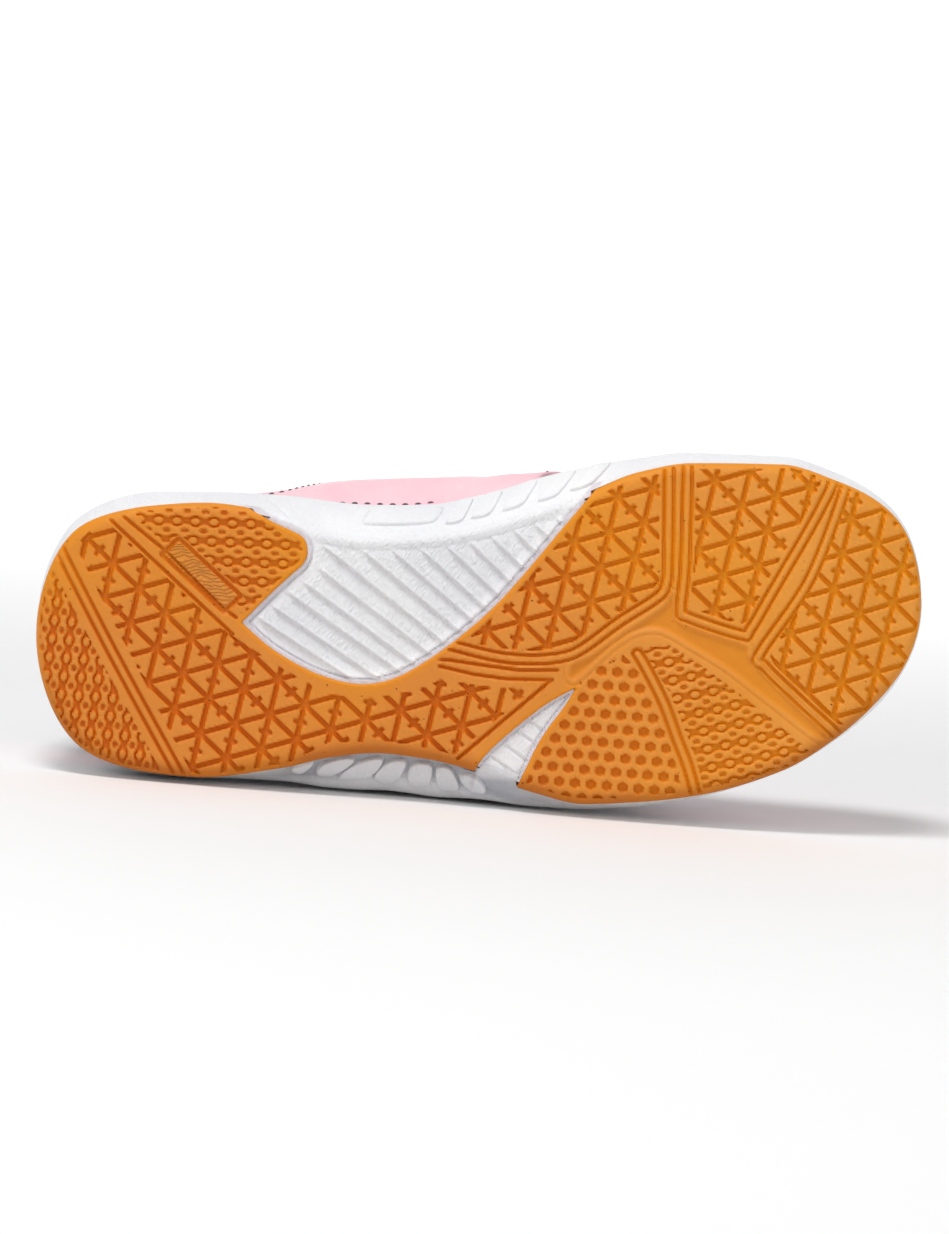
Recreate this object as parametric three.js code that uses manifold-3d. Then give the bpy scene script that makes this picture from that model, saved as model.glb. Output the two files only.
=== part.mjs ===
// A child's low indoor court sneaker, left foot, lying on its outer side.
// It is modelled standing, x from heel to toe, +y to the outer side and +z up from the ground,
// and laid down at the end. Lengths are in millimetres.
import * as THREE from "three";
import { mergeVertices } from "three/addons/utils/BufferGeometryUtils.js";
import { ConvexHull } from "three/addons/math/ConvexHull.js";
import Module from "manifold-3d";

const wasm = await Module();
wasm.setup();

// Driving sizes
const soleLength = 200;
const ballWidth = 80; // across the midsole at the ball of the foot
const instepHeight = 82; // ground to the upper over the instep, where the throat begins
const heelBackHeight = 61; // ground to the collar at the back of the heel
const ankleHeight = 50; // ground to the lowest point of the collar
const footbedHeight = 17; // ground to the inside bottom under the heel
const rimHeight = 24; // ground to the top of the midsole's side in front of the heel
const toeSpring = 11; // ground to the rubber at the tip of the toe
const heelBevel = 4.5; // ground to the rubber at the back of the heel
const archRise = 1.5; // ground to the rubber under the waist
const rubberThickness = 3.2;
const rubberEdgeRadius = 3;
const heelInset = 4.6; // back of the sole to the back of the last
const toeInset = 4.2; // tip of the sole to the tip of the last
const upperWall = 1.9;
const overlayThickness = 1.2;
const strapThickness = 1.8;
const strapWidth = 17;
const strapTilt = 25; // degrees that a strap leans back from upright
const tongueThickness = 3.6;
const tongueWidth = 40;
const tongueSlope = 52; // degrees that the tongue's end rises from level
const throatWidth = 27; // between the two sides at the top of the throat
const liningThickness = 4.6;
const liningDepth = 16; // how far the collar's padding reaches down
const insoleThickness = 3.5;
const archPadRecess = 1.7; // rubber's tread face to the bare foam between the rubber
const archRibHeight = 0.8;
const archRibWidth = 1.5;
const archRibPitch = 4.6;
const archRibAngle = 38.5; // degrees, from the shoe's length towards the outer side
const channelDepth = 0.9;
const channelWidth = 2.6;
const lugProud = 1.1; // how far the side's lugs stand out
const lugWidth = 4.2;
const lugLength = 8.5;
const lugPitch = 6;
const lugLean = 20; // degrees
const ledgeDepth = 0.8; // step in the midsole's side, under its rim
const rimRound = 1.3; // how far the rim's edge is rounded off
const ribInset = 1; // window's edge to the ends of the arch's ribs
const gap = 0.3; // between pieces that touch

// Book densities in g/cm3, which find how the shoe comes to rest
const rubberDensity = 1.2;
const foamDensity = 1.2;
const leatherDensity = 0.9;
const fabricDensity = 0.3;

const stations = 23; // sections from heel to toe
const sideSteps = 7; // steps of a section above its widest point
const tuckSteps = 3; // steps of a section below its widest point
const solidStart = 0.13; // the sections fan out round these two points of the sole's length
const solidEnd = 0.8;

// The sole's lower edge and how far its side flares out beyond it, as shares of the ball's width,
// at shares of the sole's length. The rim and the ground are shares of their named heights.
const soleRows = [
  { at: 0, inner: 0, outer: 0, innerFlare: 0.01, outerFlare: 0.01, rim: 1.17, ground: 1 },
  { at: 0.054, inner: 0.316, outer: 0.318, innerFlare: 0.026, outerFlare: 0.012, rim: 1.15, ground: 0.25 },
  { at: 0.108, inner: 0.362, outer: 0.372, innerFlare: 0.035, outerFlare: 0.022, rim: 1.12, ground: 0.02 },
  { at: 0.13, inner: 0.37, outer: 0.382, innerFlare: 0.034, outerFlare: 0.02, rim: 1.11, ground: 0 },
  { at: 0.19, inner: 0.379, outer: 0.395, innerFlare: 0.026, outerFlare: 0.018, rim: 1.08, ground: 0 },
  { at: 0.28, inner: 0.345, outer: 0.368, innerFlare: 0.05, outerFlare: 0.05, rim: 1.03, ground: 0 },
  { at: 0.33, inner: 0.294, outer: 0.34, innerFlare: 0.085, outerFlare: 0.088, rim: 1.0, ground: 0 },
  { at: 0.38, inner: 0.278, outer: 0.328, innerFlare: 0.09, outerFlare: 0.104, rim: 0.98, ground: 0 },
  { at: 0.44, inner: 0.283, outer: 0.345, innerFlare: 0.085, outerFlare: 0.105, rim: 0.95, ground: 0 },
  { at: 0.5, inner: 0.308, outer: 0.383, innerFlare: 0.088, outerFlare: 0.08, rim: 0.91, ground: 0 },
  { at: 0.56, inner: 0.353, outer: 0.438, innerFlare: 0.087, outerFlare: 0.052, rim: 0.86, ground: 0 },
  { at: 0.62, inner: 0.405, outer: 0.471, innerFlare: 0.072, outerFlare: 0.028, rim: 0.81, ground: 0 },
  { at: 0.68, inner: 0.465, outer: 0.465, innerFlare: 0.038, outerFlare: 0.026, rim: 0.78, ground: 0 },
  { at: 0.74, inner: 0.49, outer: 0.449, innerFlare: 0.028, outerFlare: 0.018, rim: 0.77, ground: 0 },
  { at: 0.84, inner: 0.485, outer: 0.38, innerFlare: 0.022, outerFlare: 0.014, rim: 0.81, ground: 0.15 },
  { at: 0.9, inner: 0.44, outer: 0.294, innerFlare: 0.022, outerFlare: 0.016, rim: 0.88, ground: 0.37 },
  { at: 0.95, inner: 0.377, outer: 0.188, innerFlare: 0.016, outerFlare: 0.02, rim: 0.97, ground: 0.65 },
  { at: 0.98, inner: 0.298, outer: 0.095, innerFlare: 0.012, outerFlare: 0.014, rim: 1.03, ground: 0.85 },
  { at: 1, inner: 0.088, outer: -0.088, innerFlare: 0.01, outerFlare: 0.01, rim: 1.08, ground: 1 },
];

// The last in plan: half widths where it is widest and how far it tucks in at the sole, as shares
// of the ball's width.
const lastRows = [
  { at: 0, inner: 0, outer: 0, innerTuck: 0.04, outerTuck: 0.04 },
  { at: 0.024, inner: 0.181, outer: 0.181, innerTuck: 0.04, outerTuck: 0.04 },
  { at: 0.06, inner: 0.262, outer: 0.262, innerTuck: 0.04, outerTuck: 0.04 },
  { at: 0.123, inner: 0.322, outer: 0.325, innerTuck: 0.042, outerTuck: 0.04 },
  { at: 0.196, inner: 0.35, outer: 0.352, innerTuck: 0.05, outerTuck: 0.045 },
  { at: 0.27, inner: 0.365, outer: 0.362, innerTuck: 0.09, outerTuck: 0.06 },
  { at: 0.343, inner: 0.382, outer: 0.37, innerTuck: 0.115, outerTuck: 0.07 },
  { at: 0.416, inner: 0.398, outer: 0.381, innerTuck: 0.125, outerTuck: 0.07 },
  { at: 0.49, inner: 0.411, outer: 0.4, innerTuck: 0.11, outerTuck: 0.062 },
  { at: 0.562, inner: 0.424, outer: 0.426, innerTuck: 0.085, outerTuck: 0.055 },
  { at: 0.635, inner: 0.437, outer: 0.437, innerTuck: 0.06, outerTuck: 0.05 },
  { at: 0.71, inner: 0.448, outer: 0.428, innerTuck: 0.05, outerTuck: 0.05 },
  { at: 0.78, inner: 0.45, outer: 0.4, innerTuck: 0.05, outerTuck: 0.05 },
  { at: 0.855, inner: 0.43, outer: 0.341, innerTuck: 0.052, outerTuck: 0.052 },
  { at: 0.917, inner: 0.38, outer: 0.252, innerTuck: 0.055, outerTuck: 0.055 },
  { at: 0.96, inner: 0.315, outer: 0.16, innerTuck: 0.055, outerTuck: 0.055 },
  { at: 0.984, inner: 0.235, outer: 0.07, innerTuck: 0.055, outerTuck: 0.055 },
  { at: 1, inner: 0.075, outer: -0.075, innerTuck: 0.055, outerTuck: 0.055 },
];
// The last's sections: the height of the widest point and of the ridge, as shares of the instep's
// height; the footbed, as a share of its height at the heel; and how boxy the section is.
const sectionRows = [
  { at: 0, wide: 0.37, ridge: 1.37, bed: 1.12, boxy: 1.9 },
  { at: 0.024, wide: 0.37, ridge: 1.37, bed: 1.1, boxy: 1.9 },
  { at: 0.06, wide: 0.37, ridge: 1.37, bed: 1.06, boxy: 1.9 },
  { at: 0.123, wide: 0.38, ridge: 1.37, bed: 1.01, boxy: 1.95 },
  { at: 0.196, wide: 0.4, ridge: 1.37, bed: 1, boxy: 2 },
  { at: 0.27, wide: 0.43, ridge: 1.34, bed: 0.99, boxy: 2 },
  { at: 0.343, wide: 0.45, ridge: 1.2, bed: 0.97, boxy: 1.95 },
  { at: 0.416, wide: 0.44, ridge: 1, bed: 0.92, boxy: 1.95 },
  { at: 0.49, wide: 0.41, ridge: 0.85, bed: 0.84, boxy: 2 },
  { at: 0.562, wide: 0.36, ridge: 0.73, bed: 0.76, boxy: 2.1 },
  { at: 0.635, wide: 0.32, ridge: 0.63, bed: 0.71, boxy: 2.2 },
  { at: 0.71, wide: 0.295, ridge: 0.556, bed: 0.69, boxy: 2.3 },
  { at: 0.78, wide: 0.285, ridge: 0.505, bed: 0.7, boxy: 2.35 },
  { at: 0.855, wide: 0.29, ridge: 0.475, bed: 0.78, boxy: 2.4 },
  { at: 0.917, wide: 0.305, ridge: 0.465, bed: 0.9, boxy: 2.4 },
  { at: 0.96, wide: 0.32, ridge: 0.46, bed: 1, boxy: 2.4 },
  { at: 0.984, wide: 0.33, ridge: 0.46, bed: 1.06, boxy: 2.4 },
  { at: 1, wide: 0.335, ridge: 0.46, bed: 1.1, boxy: 2.4 },
];
const tongueTop = { x: 0.37, z: 1.12 }; // shares of the sole's length and the instep's height
const tongueFront = 0.72; // share of the sole's length
const lastLength = soleLength - heelInset - toeInset;
const lastDrop = footbedHeight / 2; // the last runs down past the footbed, so the wall opens below

// The side's profile, from the rubber up to the rim, as shares of the flare and of the height.
// The ledge is a step in by its depth.
const sideProfile = [
  { flare: 0.5, height: 0.2, stepped: 0 },
  { flare: 0.93, height: 0.42, stepped: 0 },
  { flare: 1, height: 0.6, stepped: 0 },
  { flare: 1, height: 0.65, stepped: 1 },
  { flare: 0.97, height: 0.93, stepped: 1 },
];

// How far round a half turn a share of the length lies: the sections crowd at the round ends
const turnOf = (share) => Math.acos(1 - 2 * THREE.MathUtils.clamp(share, 0, 1));

// A smooth value of one column of a table, with no overshoot between its rows
function column(rows, name, share) {
  const turn = turnOf(share);
  const turns = rows.map((row) => turnOf(row.at));
  let i = 0;
  while (i < rows.length - 2 && turn > turns[i + 1]) i += 1;
  const rise = (k) => (rows[k + 1][name] - rows[k][name]) / (turns[k + 1] - turns[k]);
  const slope = (k) => {
    if (k === 0) return rise(0);
    if (k === rows.length - 1) return rise(k - 1);
    const before = rise(k - 1);
    const after = rise(k);
    return before * after <= 0 ? 0 : (2 * before * after) / (before + after);
  };
  const span = turns[i + 1] - turns[i];
  const s = (turn - turns[i]) / span;
  const a = rows[i][name];
  const b = rows[i + 1][name];
  return (
    a * (1 + 2 * s) * (1 - s) ** 2 +
    slope(i) * span * s * (1 - s) ** 2 +
    b * s * s * (3 - 2 * s) +
    slope(i + 1) * span * s * s * (s - 1)
  );
}

// The height of the rubber's tread face above the ground, along the shoe
function groundAt(x) {
  const share = x / soleLength;
  const end = share < 0.5 ? heelBevel : toeSpring;
  const waistStart = 0.3;
  const waistEnd = 0.6;
  const inWaist = share > waistStart && share < waistEnd;
  const arch = inWaist ? Math.sin((Math.PI * (share - waistStart)) / (waistEnd - waistStart)) ** 2 : 0;
  return end * column(soleRows, "ground", share) + archRise * arch;
}
const rimAt = (x) => rimHeight * column(soleRows, "rim", x / soleLength);
const footbedAt = (x) => footbedHeight * column(sectionRows, "bed", (x - heelInset) / lastLength);

// Turns a closed geometry into a solid that can be cut and joined
function solidOf(geometry) {
  const bare = geometry.clone();
  bare.deleteAttribute("normal");
  bare.deleteAttribute("uv");
  const merged = mergeVertices(bare, 1e-4);
  const index = merged.index.array;
  const kept = [];
  for (let i = 0; i < index.length; i += 3) {
    const [a, b, c] = index.slice(i, i + 3);
    if (a !== b && b !== c && c !== a) kept.push(a, b, c);
  }
  return new wasm.Manifold(
    new wasm.Mesh({
      numProp: 3,
      vertProperties: new Float32Array(merged.attributes.position.array),
      triVerts: new Uint32Array(kept),
    }),
  );
}
const union = (solids) => solids.reduce((sum, solid) => sum.add(solid));

// Closes a skin over sections that run from one middle line, out over the edge, to another. Each
// four-sided piece is split along its shorter diagonal, so that two skins that follow each other
// are split alike.
function skinGeometry(sections) {
  const count = sections.length;
  const steps = sections[0].length;
  const index = [];
  for (let j = 0; j < count; j += 1) {
    const next = (j + 1) % count;
    for (let k = 0; k < steps - 1; k += 1) {
      const [a, b, c, d] = [j * steps + k, j * steps + k + 1, next * steps + k + 1, next * steps + k];
      const across = sections[j][k].distanceTo(sections[next][k + 1]);
      const other = sections[j][k + 1].distanceTo(sections[next][k]);
      if (across < other) index.push(a, b, c, a, c, d);
      else index.push(a, b, d, b, c, d);
    }
  }
  const geometry = new THREE.BufferGeometry().setFromPoints(sections.flat());
  geometry.setIndex(index);
  return geometry;
}

// The sections round a footprint: each has a point on the middle line and a way outwards
function footprint(rows, start, length) {
  const places = [];
  for (let j = 0; j < 2 * stations; j += 1) {
    const outerSide = j <= stations;
    const step = outerSide ? j : 2 * stations - j;
    const share = (1 - Math.cos((Math.PI * step) / stations)) / 2;
    const x = start + length * share;
    const middleX = THREE.MathUtils.clamp(x, soleLength * solidStart, soleLength * solidEnd);
    const middleShare = (middleX - start) / length;
    const middle = (column(rows, "outer", middleShare) - column(rows, "inner", middleShare)) / 2;
    const side = outerSide ? column(rows, "outer", share) : -column(rows, "inner", share);
    const centre = new THREE.Vector2(middleX, middle * ballWidth);
    const edge = new THREE.Vector2(x, side * ballWidth);
    places.push({
      share,
      middleShare,
      centre,
      side: outerSide ? "outer" : "inner",
      reach: edge.distanceTo(centre),
      way: edge.clone().sub(centre).normalize(),
    });
  }
  return places;
}
const soleFootprint = footprint(soleRows, 0, soleLength);
const lastFootprint = footprint(lastRows, heelInset, lastLength);

const pointAt = (place, reach, z) =>
  new THREE.Vector3(place.centre.x + place.way.x * reach, place.centre.y + place.way.y * reach, z);

// The rubber's whole plate, before its windows and channels are cut
function rubberPlate() {
  const radius = rubberEdgeRadius;
  const inner = [0.4, 0.75];
  return skinGeometry(
    soleFootprint.map((place) => {
      const full = place.reach;
      const groundOf = (reach) => groundAt(pointAt(place, reach, 0).x);
      const bottom = (reach) => pointAt(place, reach, groundOf(reach));
      const top = (reach) => pointAt(place, reach, groundOf(reach) + rubberThickness);
      return [
        bottom(0),
        ...inner.map((s) => bottom(s * full)),
        bottom(full - radius),
        pointAt(place, full - 0.3 * radius, groundOf(full) + 0.25 * radius),
        pointAt(place, full, groundOf(full) + 0.8 * radius),
        top(full),
        ...inner.toReversed().map((s) => top(s * full)),
        top(0),
      ];
    }),
  );
}

// The midsole's outside: bottom on the rubber, flared side and a rim. A copy can stand further out
// at its side, reach higher at its rim or lower at its bottom.
function midsoleBlock({ proud = 0, lift = 0, bottom = rubberThickness + gap } = {}) {
  return solidOf(
    skinGeometry(
      soleFootprint.map((place) => {
        const flare = ballWidth * column(soleRows, `${place.side}Flare`, place.share);
        const full = place.reach;
        const low = (reach) => groundAt(pointAt(place, reach, 0).x) + bottom;
        const base = low(full);
        const top = rimAt(soleLength * place.share) + lift;
        const out = (row) => full + flare * row.flare - ledgeDepth * row.stepped + proud;
        return [
          pointAt(place, 0, low(0)),
          pointAt(place, 0.4 * full, low(0.4 * full)),
          pointAt(place, 0.75 * full, low(0.75 * full)),
          pointAt(place, full - gap, base),
          ...sideProfile.map((row) => pointAt(place, out(row), base + (top - base) * row.height)),
          pointAt(place, full + flare - ledgeDepth - rimRound + proud, top),
          pointAt(place, 0, rimAt(soleLength * place.middleShare) + lift),
        ];
      }),
    ),
  );
}

// The last's skin, closed, running down past the footbed
function lastGeometry() {
  return skinGeometry(
    lastFootprint.map((place) => {
      const value = (name) => column(sectionRows, name, place.share);
      const middle = (name) => column(sectionRows, name, place.middleShare);
      const ridge = instepHeight * middle("ridge");
      const wide = instepHeight * value("wide");
      const bed = footbedHeight * value("bed");
      const tuck = ballWidth * column(lastRows, `${place.side}Tuck`, place.share);
      const foot = place.reach - tuck;
      const points = [
        pointAt(place, 0, footbedHeight * middle("bed") - lastDrop),
        pointAt(place, foot, bed - lastDrop),
      ];
      for (let k = 0; k < tuckSteps; k += 1) {
        const s = k / tuckSteps;
        const out = (1 - Math.cos(Math.PI * s)) / 2;
        points.push(pointAt(place, foot + tuck * out, bed + (wide - bed) * s));
      }
      for (let k = 0; k <= sideSteps; k += 1) {
        const angle = (Math.PI / 2) * (k / sideSteps);
        const power = 2 / value("boxy");
        const reach = k === sideSteps ? 0 : place.reach * Math.cos(angle) ** power;
        points.push(pointAt(place, reach, wide + (ridge - wide) * Math.sin(angle) ** power));
      }
      return points;
    }),
  );
}

// The last grown outwards by a distance, or inwards where it is negative
const lastSkin = mergeVertices(lastGeometry(), 1e-4);
lastSkin.computeVertexNormals();
function lastForm(distance) {
  const grown = lastSkin.clone();
  const points = grown.attributes.position;
  const normals = lastSkin.attributes.normal;
  const point = new THREE.Vector3();
  const normal = new THREE.Vector3();
  for (let i = 0; i < points.count; i += 1) {
    point.fromBufferAttribute(points, i);
    normal.fromBufferAttribute(normals, i);
    point.addScaledVector(normal, distance);
    points.setXYZ(i, point.x, point.y, point.z);
  }
  return solidOf(grown);
}

// The layer of a given thickness over the last grown by a distance
const shell = (distance, thickness) => lastForm(distance + thickness).subtract(lastForm(distance));

// Drawing in plan and from the side, in shares of the sole's length and of a second size
const drawn = (points, second) =>
  points.map(([along, other]) => new THREE.Vector2(along * soleLength, other * second));
const inPlan = (points) => drawn(points, ballWidth);
const inSide = (points) => drawn(points, instepHeight);
const smooth = (points, count) => new THREE.SplineCurve(points).getPoints(count);

const curveSteps = 3; // facets of a quarter turn
const lugEndSteps = 2; // facets of a lug's round end
// A prism standing on a shape drawn in plan, up from a height
function shapePrism(shape, low) {
  const settings = { depth: 2 * instepHeight - low, bevelEnabled: false, curveSegments: curveSteps };
  return solidOf(new THREE.ExtrudeGeometry(shape, settings).translate(0, 0, low));
}
const planPrism = (outline) => shapePrism(new THREE.Shape(outline), -instepHeight);

// A prism across the shoe, with an outline drawn from the side
function sidePrism(outline, from = -ballWidth, to = ballWidth) {
  const settings = { depth: to - from, bevelEnabled: false, curveSegments: curveSteps };
  const geometry = new THREE.ExtrudeGeometry(new THREE.Shape(outline), settings);
  return solidOf(geometry.rotateX(Math.PI / 2).translate(0, to, 0));
}

// A plan outline moved outwards by a distance
function grownOutline(outline, distance) {
  const turn = THREE.ShapeUtils.isClockWise(outline) ? -1 : 1;
  const outwards = (a, b) => new THREE.Vector2(b.y - a.y, a.x - b.x).normalize().multiplyScalar(turn);
  return outline.map((point, i) => {
    const before = outwards(outline.at(i - 1), point);
    const after = outwards(point, outline[(i + 1) % outline.length]);
    const corner = before.clone().add(after).divideScalar(1 + before.dot(after));
    return point.clone().addScaledVector(corner, distance);
  });
}

// The space between two heights that change along the shoe
function layer(lowAt, highAt) {
  const margin = 0.05 * soleLength;
  const steps = 20;
  const places = Array.from(
    { length: steps + 1 },
    (_, i) => -margin + ((soleLength + 2 * margin) * i) / steps,
  );
  const low = places.map((x) => new THREE.Vector2(x, lowAt(x)));
  const high = places.toReversed().map((x) => new THREE.Vector2(x, highAt(x)));
  return sidePrism([...low, ...high]);
}
const sky = () => 2 * instepHeight;

// The window over the arch, open to the inner side
function archWindow() {
  const heelSide = inPlan([[0.286, -0.36], [0.308, -0.262], [0.3, -0.2], [0.234, -0.043]]);
  const ballSide = inPlan([
    [0.234, -0.043],
    [0.271, 0.036],
    [0.325, 0.107],
    [0.379, 0.129],
    [0.434, 0.076],
    [0.514, -0.081],
    [0.596, -0.316],
    [0.645, -0.46],
  ]);
  const outside = inPlan([[0.67, -0.7], [0.27, -0.7]]);
  return [...smooth(heelSide, 7), ...smooth(ballSide, 14).slice(1), ...outside];
}

// The wedge between the bridge and the ball's outer pad, open to the outer side
function wedgeWindow() {
  const bridgeSide = [[0.608, 0.143], [0.569, 0.2], [0.514, 0.316], [0.494, 0.385], [0.49, 0.44]];
  const padSide = [[0.538, 0.7], [0.538, 0.44], [0.548, 0.39], [0.569, 0.285], [0.596, 0.191]];
  return inPlan([...bridgeSide, [0.48, 0.7], ...padSide]);
}

// Where the tread's channels run between its panels
const channelLines = [
  [[0.03, -0.24], [0.175, 0.42]],
  [[0.085, -0.4], [0.235, -0.02]],
  [[0.44, 0.07], [0.53, 0.085], [0.64, 0.02], [0.722, -0.13], [0.728, -0.54]],
  [[0.887, -0.5], [0.8, 0.02], [0.97, 0.42]],
  [[0.722, -0.13], [0.8, 0.02]],
  [[0.64, 0.02], [0.69, 0], [0.88, 0.38]],
  [[0.69, 0], [0.755, 0.52]],
];

// A straight channel between two points in plan, with square ends
function channel(from, to) {
  const along = to.clone().sub(from);
  const length = along.length() + channelWidth;
  const bar = new THREE.BoxGeometry(length, channelWidth, 2 * instepHeight);
  bar.rotateZ(along.angle());
  const middle = from.clone().lerp(to, 0.5);
  return solidOf(bar.translate(middle.x, middle.y, 0));
}

function makeOutsole() {
  const windows = [archWindow(), wedgeWindow()].map((w) => planPrism(grownOutline(w, gap)));
  const bars = [];
  for (const line of channelLines) {
    const points = inPlan(line);
    points.slice(1).forEach((point, i) => bars.push(channel(points[i], point)));
  }
  const inTread = layer((x) => groundAt(x) - toeSpring, (x) => groundAt(x) + channelDepth);
  const channels = union(bars).intersect(inTread);
  return solidOf(rubberPlate()).subtract(union(windows)).subtract(channels);
}

// The foam that shows in the rubber's windows, with ribs across the arch
function windowFoam() {
  const arch = planPrism(archWindow());
  const deep = midsoleBlock({ bottom: archPadRecess });
  const pads = deep.intersect(union([arch, planPrism(wedgeWindow())]));
  const angle = THREE.MathUtils.degToRad(archRibAngle);
  const ribCount = 14;
  const ribs = [];
  for (let i = 0; i < ribCount; i += 1) {
    const bar = new THREE.BoxGeometry(soleLength, archRibWidth, 2 * instepHeight);
    const start = 0.21 * soleLength + (i * archRibPitch) / Math.sin(angle);
    ribs.push(solidOf(bar.rotateZ(angle).translate(start, -0.05 * ballWidth, 0)));
  }
  const inset = planPrism(grownOutline(archWindow(), -ribInset));
  const lower = midsoleBlock({ proud: -ribInset / 2, bottom: archPadRecess - archRibHeight });
  const lowest = layer((x) => groundAt(x), (x) => groundAt(x) + rubberThickness);
  return pads.add(union(ribs).intersect(lower).intersect(inset).intersect(lowest));
}

// Slanted lugs along one side of the midsole, with round ends
function sideLugs(start, count, from, to) {
  const radius = lugWidth / 2;
  const straight = lugLength / 2 - radius;
  const shape = new THREE.Shape();
  shape.absarc(0, straight, radius, 0, Math.PI);
  shape.absarc(0, -straight, radius, Math.PI, 2 * Math.PI);
  const settings = { depth: to - from, bevelEnabled: false, curveSegments: lugEndSteps };
  const lugs = [];
  for (let i = 0; i < count; i += 1) {
    const lug = new THREE.ExtrudeGeometry(shape, settings).rotateX(Math.PI / 2);
    lug.rotateY(THREE.MathUtils.degToRad(lugLean));
    const x = start * soleLength + i * lugPitch;
    lugs.push(solidOf(lug.translate(x, to, groundAt(x) + rubberThickness + lugLength / 2)));
  }
  return union(lugs).intersect(midsoleBlock({ proud: lugProud }));
}

function makeMidsole() {
  const cavity = lastForm(upperWall + gap).intersect(layer((x) => footbedAt(x) - gap, sky));
  return union([
    midsoleBlock(),
    windowFoam(),
    sideLugs(0.325, 8, 0, ballWidth),
    sideLugs(0.4, 8, -ballWidth, 0),
  ]).subtract(cavity);
}

const makeInsole = () =>
  lastForm(-gap).intersect(layer(footbedAt, (x) => footbedAt(x) + insoleThickness));

// The space above the collar's line, which dips at the ankle, or above a line lower by a drop
function aboveCollar(drop = 0) {
  const rise = instepHeight - ankleHeight;
  const dip = heelBackHeight - ankleHeight;
  const points = [
    [-0.06, heelBackHeight],
    [0.06, heelBackHeight],
    [0.16, ankleHeight + 0.4 * dip],
    [0.26, ankleHeight],
    [0.34, ankleHeight + 0.14 * rise],
    [0.4, ankleHeight + 0.5 * rise],
    [0.45, ankleHeight + 1.1 * rise],
  ].map(([along, z]) => new THREE.Vector2(along * soleLength, z - drop));
  const top = inSide([[0.46, 2], [-0.06, 2]]);
  return sidePrism([...smooth(points, 16), ...top]);
}

// The opening of the throat in plan, with a round front end
function throat() {
  const half = throatWidth / 2;
  const front = 0.66 * soleLength;
  const shape = new THREE.Shape();
  shape.moveTo(0.36 * soleLength, half);
  shape.lineTo(0.36 * soleLength, -half);
  shape.lineTo(front, -0.66 * half);
  shape.absarc(front, 0, 0.66 * half, -Math.PI / 2, Math.PI / 2);
  shape.closePath();
  return shapePrism(shape, rimHeight);
}

function makeUpper() {
  const aboveFootbed = layer(footbedAt, sky);
  return shell(0, upperWall).intersect(aboveFootbed).subtract(aboveCollar()).subtract(throat());
}

// A strip over the instep that ends squarely to the tongue's slope, with a clearance round it
function tongueStrip(clearance = 0) {
  const half = tongueWidth / 2 + clearance;
  const slope = THREE.MathUtils.degToRad(tongueSlope);
  const end = new THREE.Vector2(tongueTop.x * soleLength, tongueTop.z * instepHeight);
  end.add(new THREE.Vector2(-Math.cos(slope), Math.sin(slope)).multiplyScalar(clearance));
  const inwards = new THREE.Vector2(-Math.sin(slope), -Math.cos(slope));
  const high = end.clone().addScaledVector(inwards, -instepHeight / 2);
  const low = end.clone().addScaledVector(inwards, half);
  const front = tongueFront * soleLength + clearance;
  return sidePrism(
    [high, low, new THREE.Vector2(front, footbedHeight), new THREE.Vector2(front, high.y)],
    -half,
    half,
  );
}

const makeTongue = () =>
  shell(-gap - tongueThickness, tongueThickness).intersect(tongueStrip());

// Padding round the inside of the collar, up to the tongue on either side
function makeCollarLining() {
  const behind = sidePrism(inSide([[-0.06, 0], [0.43, 0], [0.43, 2], [-0.06, 2]]));
  return shell(-gap - liningThickness, liningThickness)
    .intersect(aboveCollar(liningDepth))
    .intersect(behind)
    .subtract(aboveCollar())
    .subtract(tongueStrip(2 * gap));
}

// A layer of leather over the upper, cut to an outline from the side and stopping at the rim
const overlayStart = upperWall + gap;
const raisedSole = midsoleBlock({ proud: gap, lift: gap });
function overlay(outline, from, to) {
  return shell(overlayStart, overlayThickness)
    .intersect(sidePrism(outline(), from, to))
    .intersect(layer((x) => rimAt(x) + gap, sky))
    .subtract(raisedSole)
    .subtract(aboveCollar())
    .subtract(throat());
}

const toeCapOutline = () => [
  ...smooth(inSide([[0.66, 0], [0.675, 0.31], [0.71, 0.37], [0.76, 0.42], [0.79, 0.5], [0.8, 0.7]]), 10),
  ...inSide([[1.1, 0.7], [1.1, 0]]),
];
const counterOutline = () => [
  ...inSide([[-0.06, 0], [0.2, 0]]),
  ...smooth(inSide([[0.2, 0.3], [0.17, 0.42], [0.12, 0.51], [0.06, 0.56], [-0.06, 0.57]]), 8),
];
const quarterOutline = () => [
  ...smooth(inSide([[0.245, 0], [0.25, 0.33], [0.285, 0.44], [0.34, 0.75]]), 6),
  ...inSide([[0.4, 1.4], [0.685, 1]]),
  ...smooth(inSide([[0.685, 0.58], [0.65, 0.48], [0.6, 0.38], [0.565, 0.2], [0.56, 0]]), 7),
];

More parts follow.
